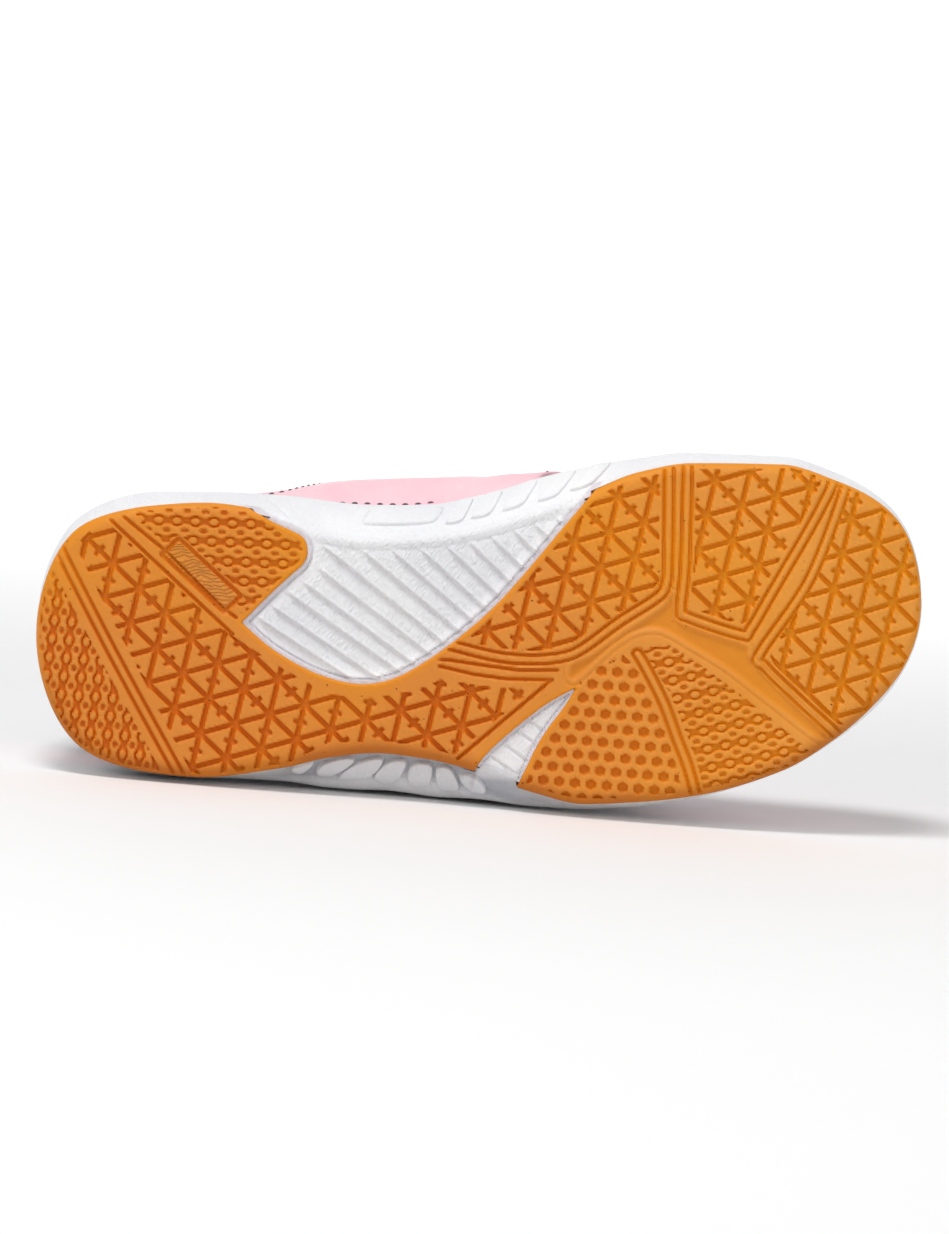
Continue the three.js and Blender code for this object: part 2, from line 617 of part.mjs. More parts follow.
// A strap over the throat, its two ends at given shares of the instep's height
const strapStart = overlayStart + overlayThickness + gap;
function strap(ridge, innerEnd, outerEnd) {
  const [ridgeX, ridgeZ] = inSide([ridge])[0].toArray();
  const lean = THREE.MathUtils.degToRad(strapTilt);
  const band = (end, from, to) => {
    const corner = strapWidth / 4;
    const half = strapWidth / 2;
    const low = (end * instepHeight - ridgeZ) / Math.cos(lean);
    const high = instepHeight / 2;
    const shape = new THREE.Shape();
    shape.moveTo(-half, high);
    shape.lineTo(-half, low + corner);
    shape.quadraticCurveTo(-half, low, corner - half, low);
    shape.lineTo(half - corner, low);
    shape.quadraticCurveTo(half, low, half, low + corner);
    shape.lineTo(half, high);
    shape.closePath();
    const settings = { depth: to - from, bevelEnabled: false, curveSegments: curveSteps };
    const bar = new THREE.ExtrudeGeometry(shape, settings).rotateX(Math.PI / 2).rotateY(lean);
    return solidOf(bar.translate(ridgeX, to, ridgeZ));
  };
  const bands = band(innerEnd, -ballWidth, strapWidth / 4).add(band(outerEnd, 0, ballWidth));
  return shell(strapStart, strapThickness).intersect(bands).intersect(layer(rimAt, sky));
}

const gum = { density: rubberDensity, color: 0xd98a3c, roughness: 0.55 };
const foam = { density: foamDensity, color: 0xf2f2f4, roughness: 0.7 };
const cloth = { density: fabricDensity, color: 0x64505f, roughness: 0.95 };
const knit = { density: leatherDensity, color: 0x64505f, roughness: 0.9 };
const leather = { density: leatherDensity, color: 0xf3c3cd, roughness: 0.6 };
const pieces = [
  { name: "outsole", make: makeOutsole, stuff: gum },
  { name: "midsole", make: makeMidsole, stuff: foam },
  { name: "insole", make: makeInsole, stuff: cloth },
  { name: "upper", make: makeUpper, stuff: knit },
  { name: "tongue", make: makeTongue, stuff: cloth },
  { name: "collar_lining", make: makeCollarLining, stuff: cloth },
  { name: "toe_cap", make: () => overlay(toeCapOutline), stuff: leather },
  { name: "heel_counter", make: () => overlay(counterOutline), stuff: leather },
  { name: "quarter_medial", make: () => overlay(quarterOutline, -ballWidth, 0), stuff: leather },
  { name: "quarter_lateral", make: () => overlay(quarterOutline, 0, ballWidth), stuff: leather },
  { name: "strap_front", make: () => strap([0.57, 0.73], 0.52, 0.4), stuff: leather },
  { name: "strap_top", make: () => strap([0.48, 0.87], 0.56, 0.45), stuff: leather },
];

const shoe = new THREE.Group();
for (const piece of pieces) {
  const { vertProperties, triVerts } = piece.make().getMesh();
  const geometry = new THREE.BufferGeometry();
  geometry.setAttribute("position", new THREE.BufferAttribute(vertProperties, 3));
  geometry.setIndex(new THREE.BufferAttribute(triVerts, 1));
  geometry.computeVertexNormals();
  const { color, roughness } = piece.stuff;
  const material = new THREE.MeshStandardMaterial({ color, roughness, metalness: 0 });
  const node = new THREE.Mesh(geometry, material);
  node.name = piece.name;
  shoe.add(node);
}

// A closed mesh's volume and its first moment, summed over its triangles
function volumeOf(geometry) {
  const corners = [0, 1, 2].map(() => new THREE.Vector3());
  const moment = new THREE.Vector3();
  let volume = 0;
  for (let i = 0; i < geometry.index.count; i += 3) {
    corners.forEach((corner, k) =>
      corner.fromBufferAttribute(geometry.attributes.position, geometry.index.getX(i + k)),
    );
    const [a, b, c] = corners;
    const part = a.dot(b.clone().cross(c)) / 6;
    volume += part;
    moment.addScaledVector(a.clone().add(b).add(c), part / 4);
  }
  return { volume, moment };
}

// The centre of the shoe's weight
function weightCentre() {
  const centre = new THREE.Vector3();
  let mass = 0;
  shoe.children.forEach((node, i) => {
    const { volume, moment } = volumeOf(node.geometry);
    const { density } = pieces[i].stuff;
    centre.addScaledVector(moment, density);
    mass += volume * density;
  });
  return centre.divideScalar(mass);
}

// The way down when the shoe is put down on its outer side: it tips over one edge of its hull after
// another until its weight is over the face that it stands on.
function restingDown() {
  const hull = new ConvexHull().setFromObject(shoe);
  const centre = weightCentre();
  const steepest = (a, b) => (a.normal.y > b.normal.y ? a : b);
  let face = hull.faces.reduce(steepest);
  for (let next = face; next; ) {
    face = next;
    next = null;
    let furthest = 0;
    let edge = face.edge;
    do {
      const start = edge.tail().point;
      const outwards = edge.head().point.clone().sub(start).cross(face.normal).normalize();
      const past = centre.clone().sub(start).dot(outwards);
      if (past > furthest) {
        furthest = past;
        next = edge.twin.face;
      }
      edge = edge.next;
    } while (edge !== face.edge);
  }
  return face.normal.clone();
}

const up = restingDown().negate();
const along = new THREE.Vector3(1, 0, 0).projectOnPlane(up).normalize();
const across = up.clone().cross(along);
shoe.quaternion.setFromRotationMatrix(new THREE.Matrix4().makeBasis(along, across, up).transpose());

const group = new THREE.Group();
group.add(shoe);
const box = new THREE.Box3().setFromObject(group, true);
const middle = box.getCenter(new THREE.Vector3());
shoe.position.set(-middle.x, -middle.y, -box.min.z);

export default group;
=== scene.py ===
# Child's indoor court shoe, left foot, lying on its outer side. Everything is drawn standing, in
# millimetres (x heel to toe, +y outer side, +z up), and laid down into the frame at the end.
import math

import bpy
import numpy as np
from mathutils import Matrix, Vector


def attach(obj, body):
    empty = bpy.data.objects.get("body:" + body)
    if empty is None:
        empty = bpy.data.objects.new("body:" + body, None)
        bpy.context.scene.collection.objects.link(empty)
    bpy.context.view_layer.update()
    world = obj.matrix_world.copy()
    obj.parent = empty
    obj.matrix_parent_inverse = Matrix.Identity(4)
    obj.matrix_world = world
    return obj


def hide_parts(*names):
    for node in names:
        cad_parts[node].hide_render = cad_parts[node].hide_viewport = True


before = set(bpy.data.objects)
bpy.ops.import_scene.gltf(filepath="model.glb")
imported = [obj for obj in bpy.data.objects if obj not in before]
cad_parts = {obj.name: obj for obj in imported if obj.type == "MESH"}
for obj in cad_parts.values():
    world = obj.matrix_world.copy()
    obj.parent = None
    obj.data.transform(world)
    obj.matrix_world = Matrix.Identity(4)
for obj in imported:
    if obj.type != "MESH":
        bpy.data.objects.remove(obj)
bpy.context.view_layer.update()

# how the shoe lies: toe lifted and sole tipped, in degrees, then shifted, in mm
lying = {"toeLift": 4.8703, "soleTip": 0.9313, "shift": (-99.3174, -45.9024, 30.1991)}
aboveFloor = 2e-5  # metres

sole = {
    "length": 200,
    "ballWidth": 80,
    "rimHeight": 24,
    "toeSpring": 11,
    "heelBevel": 4.5,
    "archRise": 1.5,
    "rubberThickness": 3.2,
    "edgeRadius": 2.4,
    "fanStart": 0.13,
    "fanEnd": 0.8,
}
last = {
    "instepHeight": 82,
    "heelBackHeight": 61,
    "ankleHeight": 50,
    "footbedHeight": 17,
    "heelInset": 4.6,
    "toeInset": 4.2,
}
lastLength = sole["length"] - last["heelInset"] - last["toeInset"]

soleRows = {
    "at": [0, 0.054, 0.108, 0.13, 0.19, 0.28, 0.33, 0.38, 0.44, 0.5, 0.56, 0.62, 0.68, 0.74, 0.84,
           0.9, 0.95, 0.98, 1],
    "inner": [0, 0.316, 0.362, 0.37, 0.379, 0.345, 0.294, 0.278, 0.283, 0.308, 0.353, 0.405, 0.465,
              0.49, 0.485, 0.44, 0.377, 0.298, 0.088],
    "outer": [0, 0.318, 0.372, 0.382, 0.395, 0.368, 0.34, 0.328, 0.345, 0.383, 0.438, 0.471, 0.465,
              0.449, 0.38, 0.294, 0.188, 0.095, -0.088],
    "innerFlare": [0.01, 0.026, 0.035, 0.034, 0.026, 0.05, 0.085, 0.09, 0.085, 0.088, 0.087, 0.072,
                   0.038, 0.028, 0.022, 0.022, 0.016, 0.012, 0.01],
    "outerFlare": [0.01, 0.012, 0.022, 0.02, 0.018, 0.056, 0.102, 0.121, 0.121, 0.09, 0.054, 0.028,
                   0.026, 0.018, 0.014, 0.016, 0.02, 0.014, 0.01],
    "rim": [1.17, 1.15, 1.12, 1.11, 1.08, 1.03, 1.0, 0.98, 0.95, 0.91, 0.86, 0.81, 0.78, 0.77,
            0.81, 0.88, 0.97, 1.03, 1.08],
    "ground": [1, 0.25, 0.02, 0, 0, 0, 0, 0, 0, 0, 0, 0, 0, 0, 0.15, 0.37, 0.65, 0.85, 1],
}
lastRows = {
    "at": [0, 0.024, 0.06, 0.123, 0.196, 0.27, 0.343, 0.416, 0.49, 0.562, 0.635, 0.71, 0.78, 0.855,
           0.917, 0.96, 0.984, 1],
    "inner": [0, 0.181, 0.262, 0.322, 0.35, 0.352, 0.376, 0.384, 0.39, 0.403, 0.42, 0.438, 0.45,
              0.43, 0.38, 0.315, 0.235, 0.075],
    "outer": [0, 0.181, 0.262, 0.325, 0.352, 0.362, 0.37, 0.381, 0.4, 0.426, 0.437, 0.428, 0.4,
              0.341, 0.252, 0.16, 0.07, -0.075],
    "innerTuck": [0.04, 0.04, 0.04, 0.042, 0.05, 0.09, 0.115, 0.125, 0.11, 0.085, 0.06, 0.05, 0.05,
                  0.052, 0.055, 0.055, 0.055, 0.055],
    "outerTuck": [0.04, 0.04, 0.04, 0.04, 0.045, 0.06, 0.07, 0.07, 0.062, 0.055, 0.05, 0.05, 0.05,
                  0.052, 0.055, 0.055, 0.055, 0.055],
    "wide": [0.37, 0.37, 0.37, 0.38, 0.4, 0.43, 0.45, 0.44, 0.41, 0.36, 0.32, 0.295, 0.285, 0.29,
             0.305, 0.32, 0.33, 0.335],
    "ridge": [1.37, 1.37, 1.37, 1.37, 1.37, 1.34, 1.2, 1, 0.85, 0.73, 0.63, 0.556, 0.505, 0.475,
              0.465, 0.46, 0.46, 0.46],
    "bed": [1.12, 1.1, 1.06, 1.01, 1, 0.99, 0.97, 0.92, 0.84, 0.76, 0.71, 0.69, 0.7, 0.78, 0.9, 1,
            1.06, 1.1],
    "boxy": [1.9, 1.9, 1.9, 1.95, 2, 2, 1.95, 1.95, 2, 2.1, 2.2, 2.3, 2.35, 2.4, 2.4, 2.4, 2.4,
             2.4],
}


# drawing helpers
def turnOf(share):
    return np.arccos(1 - 2 * np.clip(share, 0, 1))


def column(rows, name, share):
    # a smooth value of one column, with no overshoot between its rows
    turn = turnOf(np.asarray(share, float))
    turns = turnOf(np.array(rows["at"], float))
    values = np.array(rows[name], float)
    rise = np.diff(values) / np.diff(turns)
    before, after = rise[:-1], rise[1:]
    both = np.where(before * after > 0, before + after, 1)
    inner = np.where(before * after > 0, 2 * before * after / both, 0)
    slope = np.concatenate([rise[:1], inner, rise[-1:]])
    i = np.clip(np.searchsorted(turns, turn) - 1, 0, len(turns) - 2)
    span = turns[i + 1] - turns[i]
    s = (turn - turns[i]) / span
    return (
        values[i] * (1 + 2 * s) * (1 - s) ** 2
        + slope[i] * span * s * (1 - s) ** 2
        + values[i + 1] * s * s * (3 - 2 * s)
        + slope[i + 1] * span * s * s * (s - 1)
    )


def ramp(value, low, high):
    t = np.clip((value - low) / (high - low), 0, 1)
    return t * t * (3 - 2 * t)


def groundAt(x):
    share = np.asarray(x, float) / sole["length"]
    end = np.where(share < 0.5, sole["heelBevel"], sole["toeSpring"])
    waist = np.clip((share - 0.3) / 0.3, 0, 1)
    return end * column(soleRows, "ground", share) + sole["archRise"] * np.sin(np.pi * waist) ** 2


def rimAt(x):
    return sole["rimHeight"] * column(soleRows, "rim", np.asarray(x, float) / sole["length"])


def footbedAt(x):
    share = (np.asarray(x, float) - last["heelInset"]) / lastLength
    return last["footbedHeight"] * column(lastRows, "bed", share)


def footprint(rows, start, length, turns):
    # places round an outline: a point on the middle line and a way outwards from it
    outerSide = turns <= np.pi
    share = (1 - np.cos(turns)) / 2
    x = start + length * share
    middleX = np.clip(x, sole["length"] * sole["fanStart"], sole["length"] * sole["fanEnd"])
    middleShare = (middleX - start) / length
    middle = (column(rows, "outer", middleShare) - column(rows, "inner", middleShare)) / 2
    side = np.where(outerSide, column(rows, "outer", share), -column(rows, "inner", share))
    centre = np.stack([middleX, middle * sole["ballWidth"]], 1)
    edge = np.stack([x, side * sole["ballWidth"]], 1)
    reach = np.linalg.norm(edge - centre, axis=1)
    return {
        "outerSide": outerSide,
        "share": share,
        "middleShare": middleShare,
        "centre": centre,
        "edge": edge,
        "reach": reach,
        "way": (edge - centre) / reach[:, None],
    }


def evenFootprint(rows, start, length, count):
    # the same, at nearly even steps along the outline, with the two sides in pairs
    turns = np.linspace(0, np.pi, 2001)
    run = 0
    for side in (turns, 2 * np.pi - turns):
        edge = footprint(rows, start, length, side)["edge"]
        run = run + np.concatenate([[0], np.cumsum(np.linalg.norm(np.diff(edge, axis=0), axis=1))])
    even = np.interp(np.linspace(0, run[-1], count // 2 + 1), run, turns)
    return footprint(rows, start, length, np.concatenate([even, 2 * np.pi - even[-2:0:-1]]))


def sideColumn(rows, name, place):
    outer = column(rows, "outer" + name, place["share"])
    inner = column(rows, "inner" + name, place["share"])
    return np.where(place["outerSide"], outer, inner)


def spline(points, count):
    # a smooth curve through points, sampled at count + 1 places
    p = np.array(points, float)
    p = np.vstack([p[0], p, p[-1]])
    t = np.linspace(0, len(points) - 1, count + 1)
    i = np.minimum(t.astype(int), len(points) - 2)
    w = (t - i)[:, None]
    a, b, c, d = p[i], p[i + 1], p[i + 2], p[i + 3]
    v0, v1 = (c - a) * 0.5, (d - b) * 0.5
    bend, twist = -3 * b + 3 * c - 2 * v0 - v1, 2 * b - 2 * c + v0 + v1
    return twist * w**3 + bend * w**2 + v0 * w + b


def closedCurve(points, steps):
    # a smooth curve round through points
    loop = np.array(points, float)
    t = np.linspace(0, len(loop), steps * len(loop), endpoint=False)
    i, w = t.astype(int), (t % 1)[:, None]
    a, b, c, d = (loop[(i + k) % len(loop)] for k in (-1, 0, 1, 2))
    bend, twist = 2 * a - 5 * b + 4 * c - d, 3 * b - a - 3 * c + d
    return 0.5 * (2 * b + (c - a) * w + bend * w**2 + twist * w**3)


def toPath(path, points):
    # distance to an open path, and how far along it the nearest place is
    best = np.full(len(points), 1e9)
    along = np.zeros(len(points))
    run = 0.0
    for a, b in zip(path[:-1], path[1:]):
        step = b - a
        size = math.hypot(step[0], step[1]) or 1e-9
        t = np.clip(((points - a) @ step) / size**2, 0, 1)
        off = points - a - t[:, None] * step
        distance = np.sqrt(off[:, 0] ** 2 + off[:, 1] ** 2)
        nearer = distance < best
        best = np.where(nearer, distance, best)
        along = np.where(nearer, run + t * size, along)
        run += size
    return best, along


def toShape(shape, points):
    # signed distance to a closed outline, below nought inside it
    loop = np.vstack([shape, shape[:1]])
    distance, _ = toPath(loop, points)
    inside = np.zeros(len(points), bool)
    x, y = points[:, 0], points[:, 1]
    for a, b in zip(loop[:-1], loop[1:]):
        if a[1] == b[1]:
            continue
        crosses = (a[1] > y) != (b[1] > y)
        inside ^= crosses & (x < a[0] + (y - a[1]) * (b[0] - a[0]) / (b[1] - a[1]))
    return np.where(inside, -distance, distance)


def crossings(data, triangles, values):
    # the triangles where values pass nought, each turned to start at its odd corner, and the
    # new points on their edges
    inside = values <= 0
    count = inside[triangles].sum(1)
    crossed = (count > 0) & (count < 3)
    split, one = triangles[crossed], count[crossed] == 1
    flags = inside[split]
    odd = np.where(one, flags.argmax(1), (~flags).argmax(1))
    split = np.take_along_axis(split, (odd[:, None] + np.arange(3)) % 3, 1)
    a, b, c = split.T
    edges = np.sort(np.concatenate([np.stack([a, b], 1), np.stack([a, c], 1)]), 1)
    unique, inverse = np.unique(edges, axis=0, return_inverse=True)
    low, high = values[unique[:, 0]], values[unique[:, 1]]
    t = (low / (low - high))[:, None]
    fresh = data[unique[:, 0]] * (1 - t) + data[unique[:, 1]] * t
    return count, one, split, fresh, inverse.ravel()


def cutSheet(data, triangles, values, both=False):
    # keeps the part of a sheet where values are below nought, with a clean new edge
    count, one, split, fresh, inverse = crossings(data, triangles, values)
    a, b, c = split.T
    ids = len(data) + inverse
    ab, ac = ids[: len(split)], ids[len(split):]
    tips = np.stack([a, ab, ac], 1)
    rests = np.concatenate([np.stack([ab, b, c], 1), np.stack([ab, c, ac], 1)])
    if both:
        kept = [triangles[(count == 0) | (count == 3)], tips, rests]
    else:
        kept = [triangles[count == 3], tips[one], rests[~np.tile(one, 2)]]
    data = np.vstack([data, fresh])
    values = np.concatenate([values, np.zeros(len(fresh))])
    used, triangles = np.unique(np.concatenate(kept), return_inverse=True)
    return data[used], triangles.reshape(-1, 3), values[used]


def isoLines(data, triangles, values, level):
    # chains of points where values equal a level
    _, _, split, points, inverse = crossings(data, triangles, values - level)
    links = {}
    for p, q in zip(inverse[: len(split)], inverse[len(split):]):
        links.setdefault(int(p), []).append(int(q))
        links.setdefault(int(q), []).append(int(p))
    chains = []
    left = set(links)
    ends = [p for p in links if len(links[p]) == 1]
    for start in ends + sorted(links):
        if start not in left:
            continue
        chain = [start]
        left.discard(start)
        while True:
            following = [p for p in links[chain[-1]] if p in left]
            if not following:
                break
            chain.append(following[0])
            left.discard(following[0])
        if start in links[chain[-1]] and len(chain) > 3:
            chain.append(start)
        chains.append(points[chain])
    return chains


def borderEdges(triangles):
    # the edges that only one triangle has, in that triangle's direction
    edges = np.concatenate([triangles[:, [0, 1]], triangles[:, [1, 2]], triangles[:, [2, 0]]])
    key = np.sort(edges, 1)
    _, first, counts = np.unique(key, axis=0, return_index=True, return_counts=True)
    return edges[first[counts == 1]]


def vertexNormals(points, triangles):
    a, b, c = (points[triangles[:, k]] for k in range(3))
    flat = np.cross(b - a, c - a)
    normals = np.zeros_like(points)
    for k in range(3):
        np.add.at(normals, triangles[:, k], flat)
    return normals / np.maximum(np.linalg.norm(normals, axis=1), 1e-12)[:, None]


def gridTriangles(rows, columns, closed=True):
    # two triangles for each cell of a grid whose rows may close on themselves
    j = np.arange(rows if closed else rows - 1)
    k = np.arange(columns - 1)
    a = (j[:, None] * columns + k).ravel()
    d = (((j + 1) % rows)[:, None] * columns + k).ravel()
    return np.concatenate([np.stack([a, a + 1, d + 1], 1), np.stack([a, d + 1, d], 1)])


def flatGrid(box, step):
    # points in plan all over a box, and their triangles
    xs, ys = np.arange(box[0], box[1], step), np.arange(box[2], box[3], step)
    grid = np.stack(np.meshgrid(xs, ys, indexing="ij"), -1).reshape(-1, 2)
    return grid, gridTriangles(len(xs), len(ys), closed=False)


def wallTriangles(edges, low, high):
    # a wall between two rings of points, along the edges of a border
    a, b = low[edges[:, 0]], low[edges[:, 1]]
    c, d = high[edges[:, 1]], high[edges[:, 0]]
    return np.concatenate([np.stack([b, a, c], 1), np.stack([c, a, d], 1)])


def merged(points, triangles):
    # joins points that lie in one place
    samePlace = 2e-3
    key = np.round(points / samePlace).astype(np.int64)
    _, first, inverse = np.unique(key, axis=0, return_index=True, return_inverse=True)
    triangles = inverse.ravel()[triangles]
    a, b, c = triangles.T
    return points[first], triangles[(a != b) & (b != c) & (c != a)]


lift, tip = math.radians(lying["toeLift"]), math.radians(lying["soleTip"])
acrossWay = np.array([0, -math.sin(tip), math.cos(tip)])
upWay = np.array([math.sin(lift), -math.cos(lift) * math.cos(tip), -math.cos(lift) * math.sin(tip)])
alongWay = np.cross(acrossWay, upWay)
laidDown = np.stack([alongWay, acrossWay, upWay])


def lay(points):
    # standing millimetres to metres in the frame
    return (points @ laidDown.T + np.array(lying["shift"])) / 1000


sharpEdge, softEdge, roundEdge = 50, 60, 180  # the angles over which an edge shows, in degrees


def addPiece(name, points, triangles, finish, node, sharp, marks):
    # a mesh that rides on the body; marks are values at its points for the finish to use
    mesh = bpy.data.meshes.new(name)
    placed = lay(points)
    placed[:, 2] = np.maximum(placed[:, 2], aboveFloor)  # what rests on the floor is pressed flat
    mesh.vertices.add(len(placed))
    mesh.vertices.foreach_set("co", placed.astype(np.float32).ravel())
    mesh.loops.add(3 * len(triangles))
    mesh.loops.foreach_set("vertex_index", triangles.astype(np.int32).ravel())
    mesh.polygons.add(len(triangles))
    mesh.polygons.foreach_set("loop_start", np.arange(0, 3 * len(triangles), 3, dtype=np.int32))
    mesh.update(calc_edges=True)
    mesh.validate()
    mesh.shade_smooth()
    mesh.set_sharp_from_angle(angle=math.radians(sharp))
    for key, values in marks.items():
        kind, field = ("FLOAT", "value") if values.ndim == 1 else ("FLOAT_VECTOR", "vector")
        layer = mesh.attributes.new(key, kind, "POINT")
        layer.data.foreach_set(field, values.astype(np.float32).ravel())
    piece = bpy.data.objects.new(name, mesh)
    bpy.context.scene.collection.objects.link(piece)
    mesh.materials.append(finish)
    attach(piece, "root")
    if node:
        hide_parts(node)
    print(f"made {name}: {len(triangles)} triangles")
    return piece


# outsole: one rubber piece with a moulded tread
tread = {
    "cell": 0.37,  # mm between the points of the tread's mesh
    "latticeA": (7.85, -2.15),
    "latticeB": (5.87, 5.68),
    "grooveWidth": 1.15,
    "grooveDepth": 0.95,
    "crossLength": 3.0,
    "crossWidth": 0.95,
    "pairSpacing": 2.0,
    "pairWidth": 0.85,
    "pairDepth": 0.8,
    "ringPitch": 4.15,
    "pitPitch": 3.58,
    "pitRow": 3.22,
    "pitSize": 1.14,
    "pitDepth": 0.85,
    "pitTurn": 5.3,  # degrees
    "pitOrigin": (131.4, 24.0),
    "buttonDepth": 0.74,
    "ribPitDepth": 0.62,
    "webDepth": 0.75,
    "windowLip": 0.5,
    "windowGap": 0.12,
    "plateFrameDepth": 0.75,
    "plateDepth": 0.25,
    "leastRubber": 0.4,
    "backStep": 4,  # how many cells of the tread make one of the back
}


def archWindow():
    heelSide = spline(
        [(0.225, -0.385), (0.247, -0.3575), (0.271, -0.324), (0.29, -0.302), (0.304, -0.28),
         (0.308, -0.24), (0.3025, -0.206), (0.29, -0.178), (0.262, -0.113), (0.234, -0.043)], 54)
    ballSide = spline(
        [(0.234, -0.043), (0.271, 0.036), (0.325, 0.107), (0.379, 0.129), (0.434, 0.076),
         (0.514, -0.081), (0.596, -0.316), (0.645, -0.46)], 70)
    outside = np.array([(0.67, -0.7), (0.2, -0.7)])
    return np.vstack([heelSide, ballSide[1:], outside]) * (sole["length"], sole["ballWidth"])


def wedgeWindow():
    bridgeSide = [(0.608, 0.143), (0.569, 0.2), (0.514, 0.316), (0.494, 0.385), (0.49, 0.44)]
    padSide = [(0.538, 0.44), (0.548, 0.39), (0.569, 0.285), (0.596, 0.191), (0.608, 0.143)]
    bridgeSide, padSide = spline(bridgeSide, 24), spline(padSide, 24)
    outside = np.array([(0.48, 0.7), (0.538, 0.7)])
    return np.vstack([bridgeSide, outside, padSide[:-1]]) * (sole["length"], sole["ballWidth"])


archShape, wedgeShape = archWindow(), wedgeWindow()


def toWindow(points):
    return np.minimum(toShape(archShape, points), toShape(wedgeShape, points))


# the tread's panels, in mm in plan, and the origins of their patterns
panels = {
    "heelRear": [(-4, -16), (3.4, -16.5), (29.4, 32), (-4, 32)],
    "heelMain": [(9.3, -20.5), (15.6, -26.9), (42.6, -1.7), (54.6, 6.2), (66, 12.8), (76, 13.8),
                 (86, 12), (91.5, 9.6), (104, 11.4), (112, 11.6), (94.5, 26.4), (80, 23.4),
                 (66, 23.6), (50, 32), (36, 32)],
    "heelLobe": [(20, -33), (52, -33), (64, -20), (46.6, -5.2), (30.5, -20.3), (24, -26)],
    "ballRear": [(93, 0.2), (104, 2.4), (112, 3.0), (119, 2.2), (129.5, -4.4), (137.8, -9.8),
                 (140.4, -12.6), (140.6, -38), (128, -38), (119, -27), (106, -10.5)],
    "ballFront": [(148.9, -39), (148.4, -17), (147.6, -7.4), (149, -6.2), (158.6, -2.9),
                  (160.2, -3.6), (164, -11.6), (172.6, -26.2), (178.4, -38)],
    "toe": [(184.8, -36), (176.2, -13), (165.4, 3.8), (166.4, 6.2), (181, 20), (204, 12),
            (204, -36)],
    "pits": [(132.4, 4), (135.2, 6.4), (139.4, 14.5), (142.3, 22.6), (144.4, 29.4), (146.6, 40),
             (108, 40), (109.6, 31.6), (113.6, 23.5), (119.4, 13.6), (125, 7.6)],
    "rings": [(136.4, 2.2), (143, 1.8), (150.8, 6.8), (159.2, 13.2), (170, 22), (177, 28),
              (152, 40), (149.4, 29.2), (146.6, 21.4), (143, 12.5)],
    "web": [(120.5, 6.4), (125.5, 3.8), (133, -1.6), (141, -6.8), (143.6, -10), (144.2, -6.4),
            (146, -3.2), (158.6, 1.2), (160.6, 2.6), (161.4, 5), (169.2, 13.2), (178, 21.6),
            (176.4, 23), (166, 15), (156, 7.2), (147, 1.6), (141, -1.6), (135.4, -1.2),
            (129.6, 2.4), (121.5, 9.6)],
}
latticeOrigins = {
    "heelMain": (35.3, 0.2),
    "ballRear": (127.2, -15.9),
    "ballFront": (156.9, -21.8),
    "toe": (179.8, -10.8),
}
# ring patterns: a ring's centre, the way of its rows, and how far each row is shifted
ringPatterns = {
    "heelRear": {"origin": (7.1, 4.8), "turn": 98.7, "shift": 0.35, "row": 3.92},
    "heelLobe": {"origin": (32.2, -26.4), "turn": 2.6, "shift": -0.35, "row": 4.3},
    "rings": {"origin": (158.6, 19.3), "turn": -11.6, "shift": 0.1, "row": 4.2},
}
pairPaths = {
    "heelRear": [(4.8, -21.5), (6.4, -18.3), (18.2, 4.6), (32.4, 30.8)],
    "ballRear": [(93.4, 1.7), (103.6, 4.2), (111.6, 4.9), (118.6, 4.3), (123.5, 2.3),
                 (131.5, -3.6), (139.8, -8.9), (142, -11.8), (142.5, -17.8), (142.7, -40)],
    "ballFront": [(146.9, -40), (146.3, -16.7), (145.4, -6.3), (147.1, -4.6), (158.9, -0.7),
                  (161, -1.8), (166.4, -11), (175, -25.6), (181, -37)],
    "toe": [(183.4, -36), (174.6, -13.4), (163.2, 3.6), (164.3, 6.6), (171.6, 13.8), (182, 23.4)],
    "pits": [(135.6, 3.6), (137.4, 6.6), (141.4, 14.5), (144.5, 22.8), (146.9, 29), (149.2, 37)],
}
singlePaths = [
    [(14.8, -28.9), (42.4, -2.9), (44.6, -0.9)],
    [(19.6, -27.8), (30.2, -19.1), (42.6, -6.6), (45.4, -4.6)],
    [(91.2, 6.5), (98.8, 8.3), (106.3, 9.3), (116.4, 9.4), (95.2, 27.4)],
    [(88.6, 4.6), (94, 5.2), (101.3, 6.3), (108.8, 7.3), (117.6, 7.2)],
]
plate = [(32.6, -22.3), (46.4, -9.5), (42.6, -6.0), (28.8, -18.8)]


def latticeDepth(points, origin):
    # straight grooves in three directions, with small crosses on every other edge
    a, b = np.array(tread["latticeA"]), np.array(tread["latticeB"])
    area = a[0] * b[1] - a[1] * b[0]
    p = points - origin
    i = (p[:, 0] * b[1] - p[:, 1] * b[0]) / area
    j = (a[0] * p[:, 1] - a[1] * p[:, 0]) / area
    lines = [(j, a), (i, b), (i + j, b - a)]
    half = tread["grooveWidth"] / 2
    nearest = np.full(len(p), 1e9)
    for value, way in lines:
        off = np.abs(value - np.round(value)) * area / np.hypot(*way)
        nearest = np.minimum(nearest, off - half)
    upright = 2 * np.round((j - 0.5) / 2) + 0.5
    leaning = 2 * np.round((j - 1.5) / 2) + 1.5
    for mi, mj, edge in ((np.round(i), upright, b), (np.round(i + j) - leaning, leaning, b - a)):
        way = edge / np.hypot(*edge)
        off = p - mi[:, None] * a - mj[:, None] * b
        along = np.abs(off @ way) - tread["crossWidth"] / 2
        across = np.abs(off[:, 0] * way[1] - off[:, 1] * way[0]) - tread["crossLength"] / 2
        nearest = np.minimum(nearest, np.maximum(along, across))
        nearest = np.minimum(nearest, np.maximum(across + 0.55, along - 0.2))
    return tread["grooveDepth"] * ramp(-nearest, -0.16, 0.3)


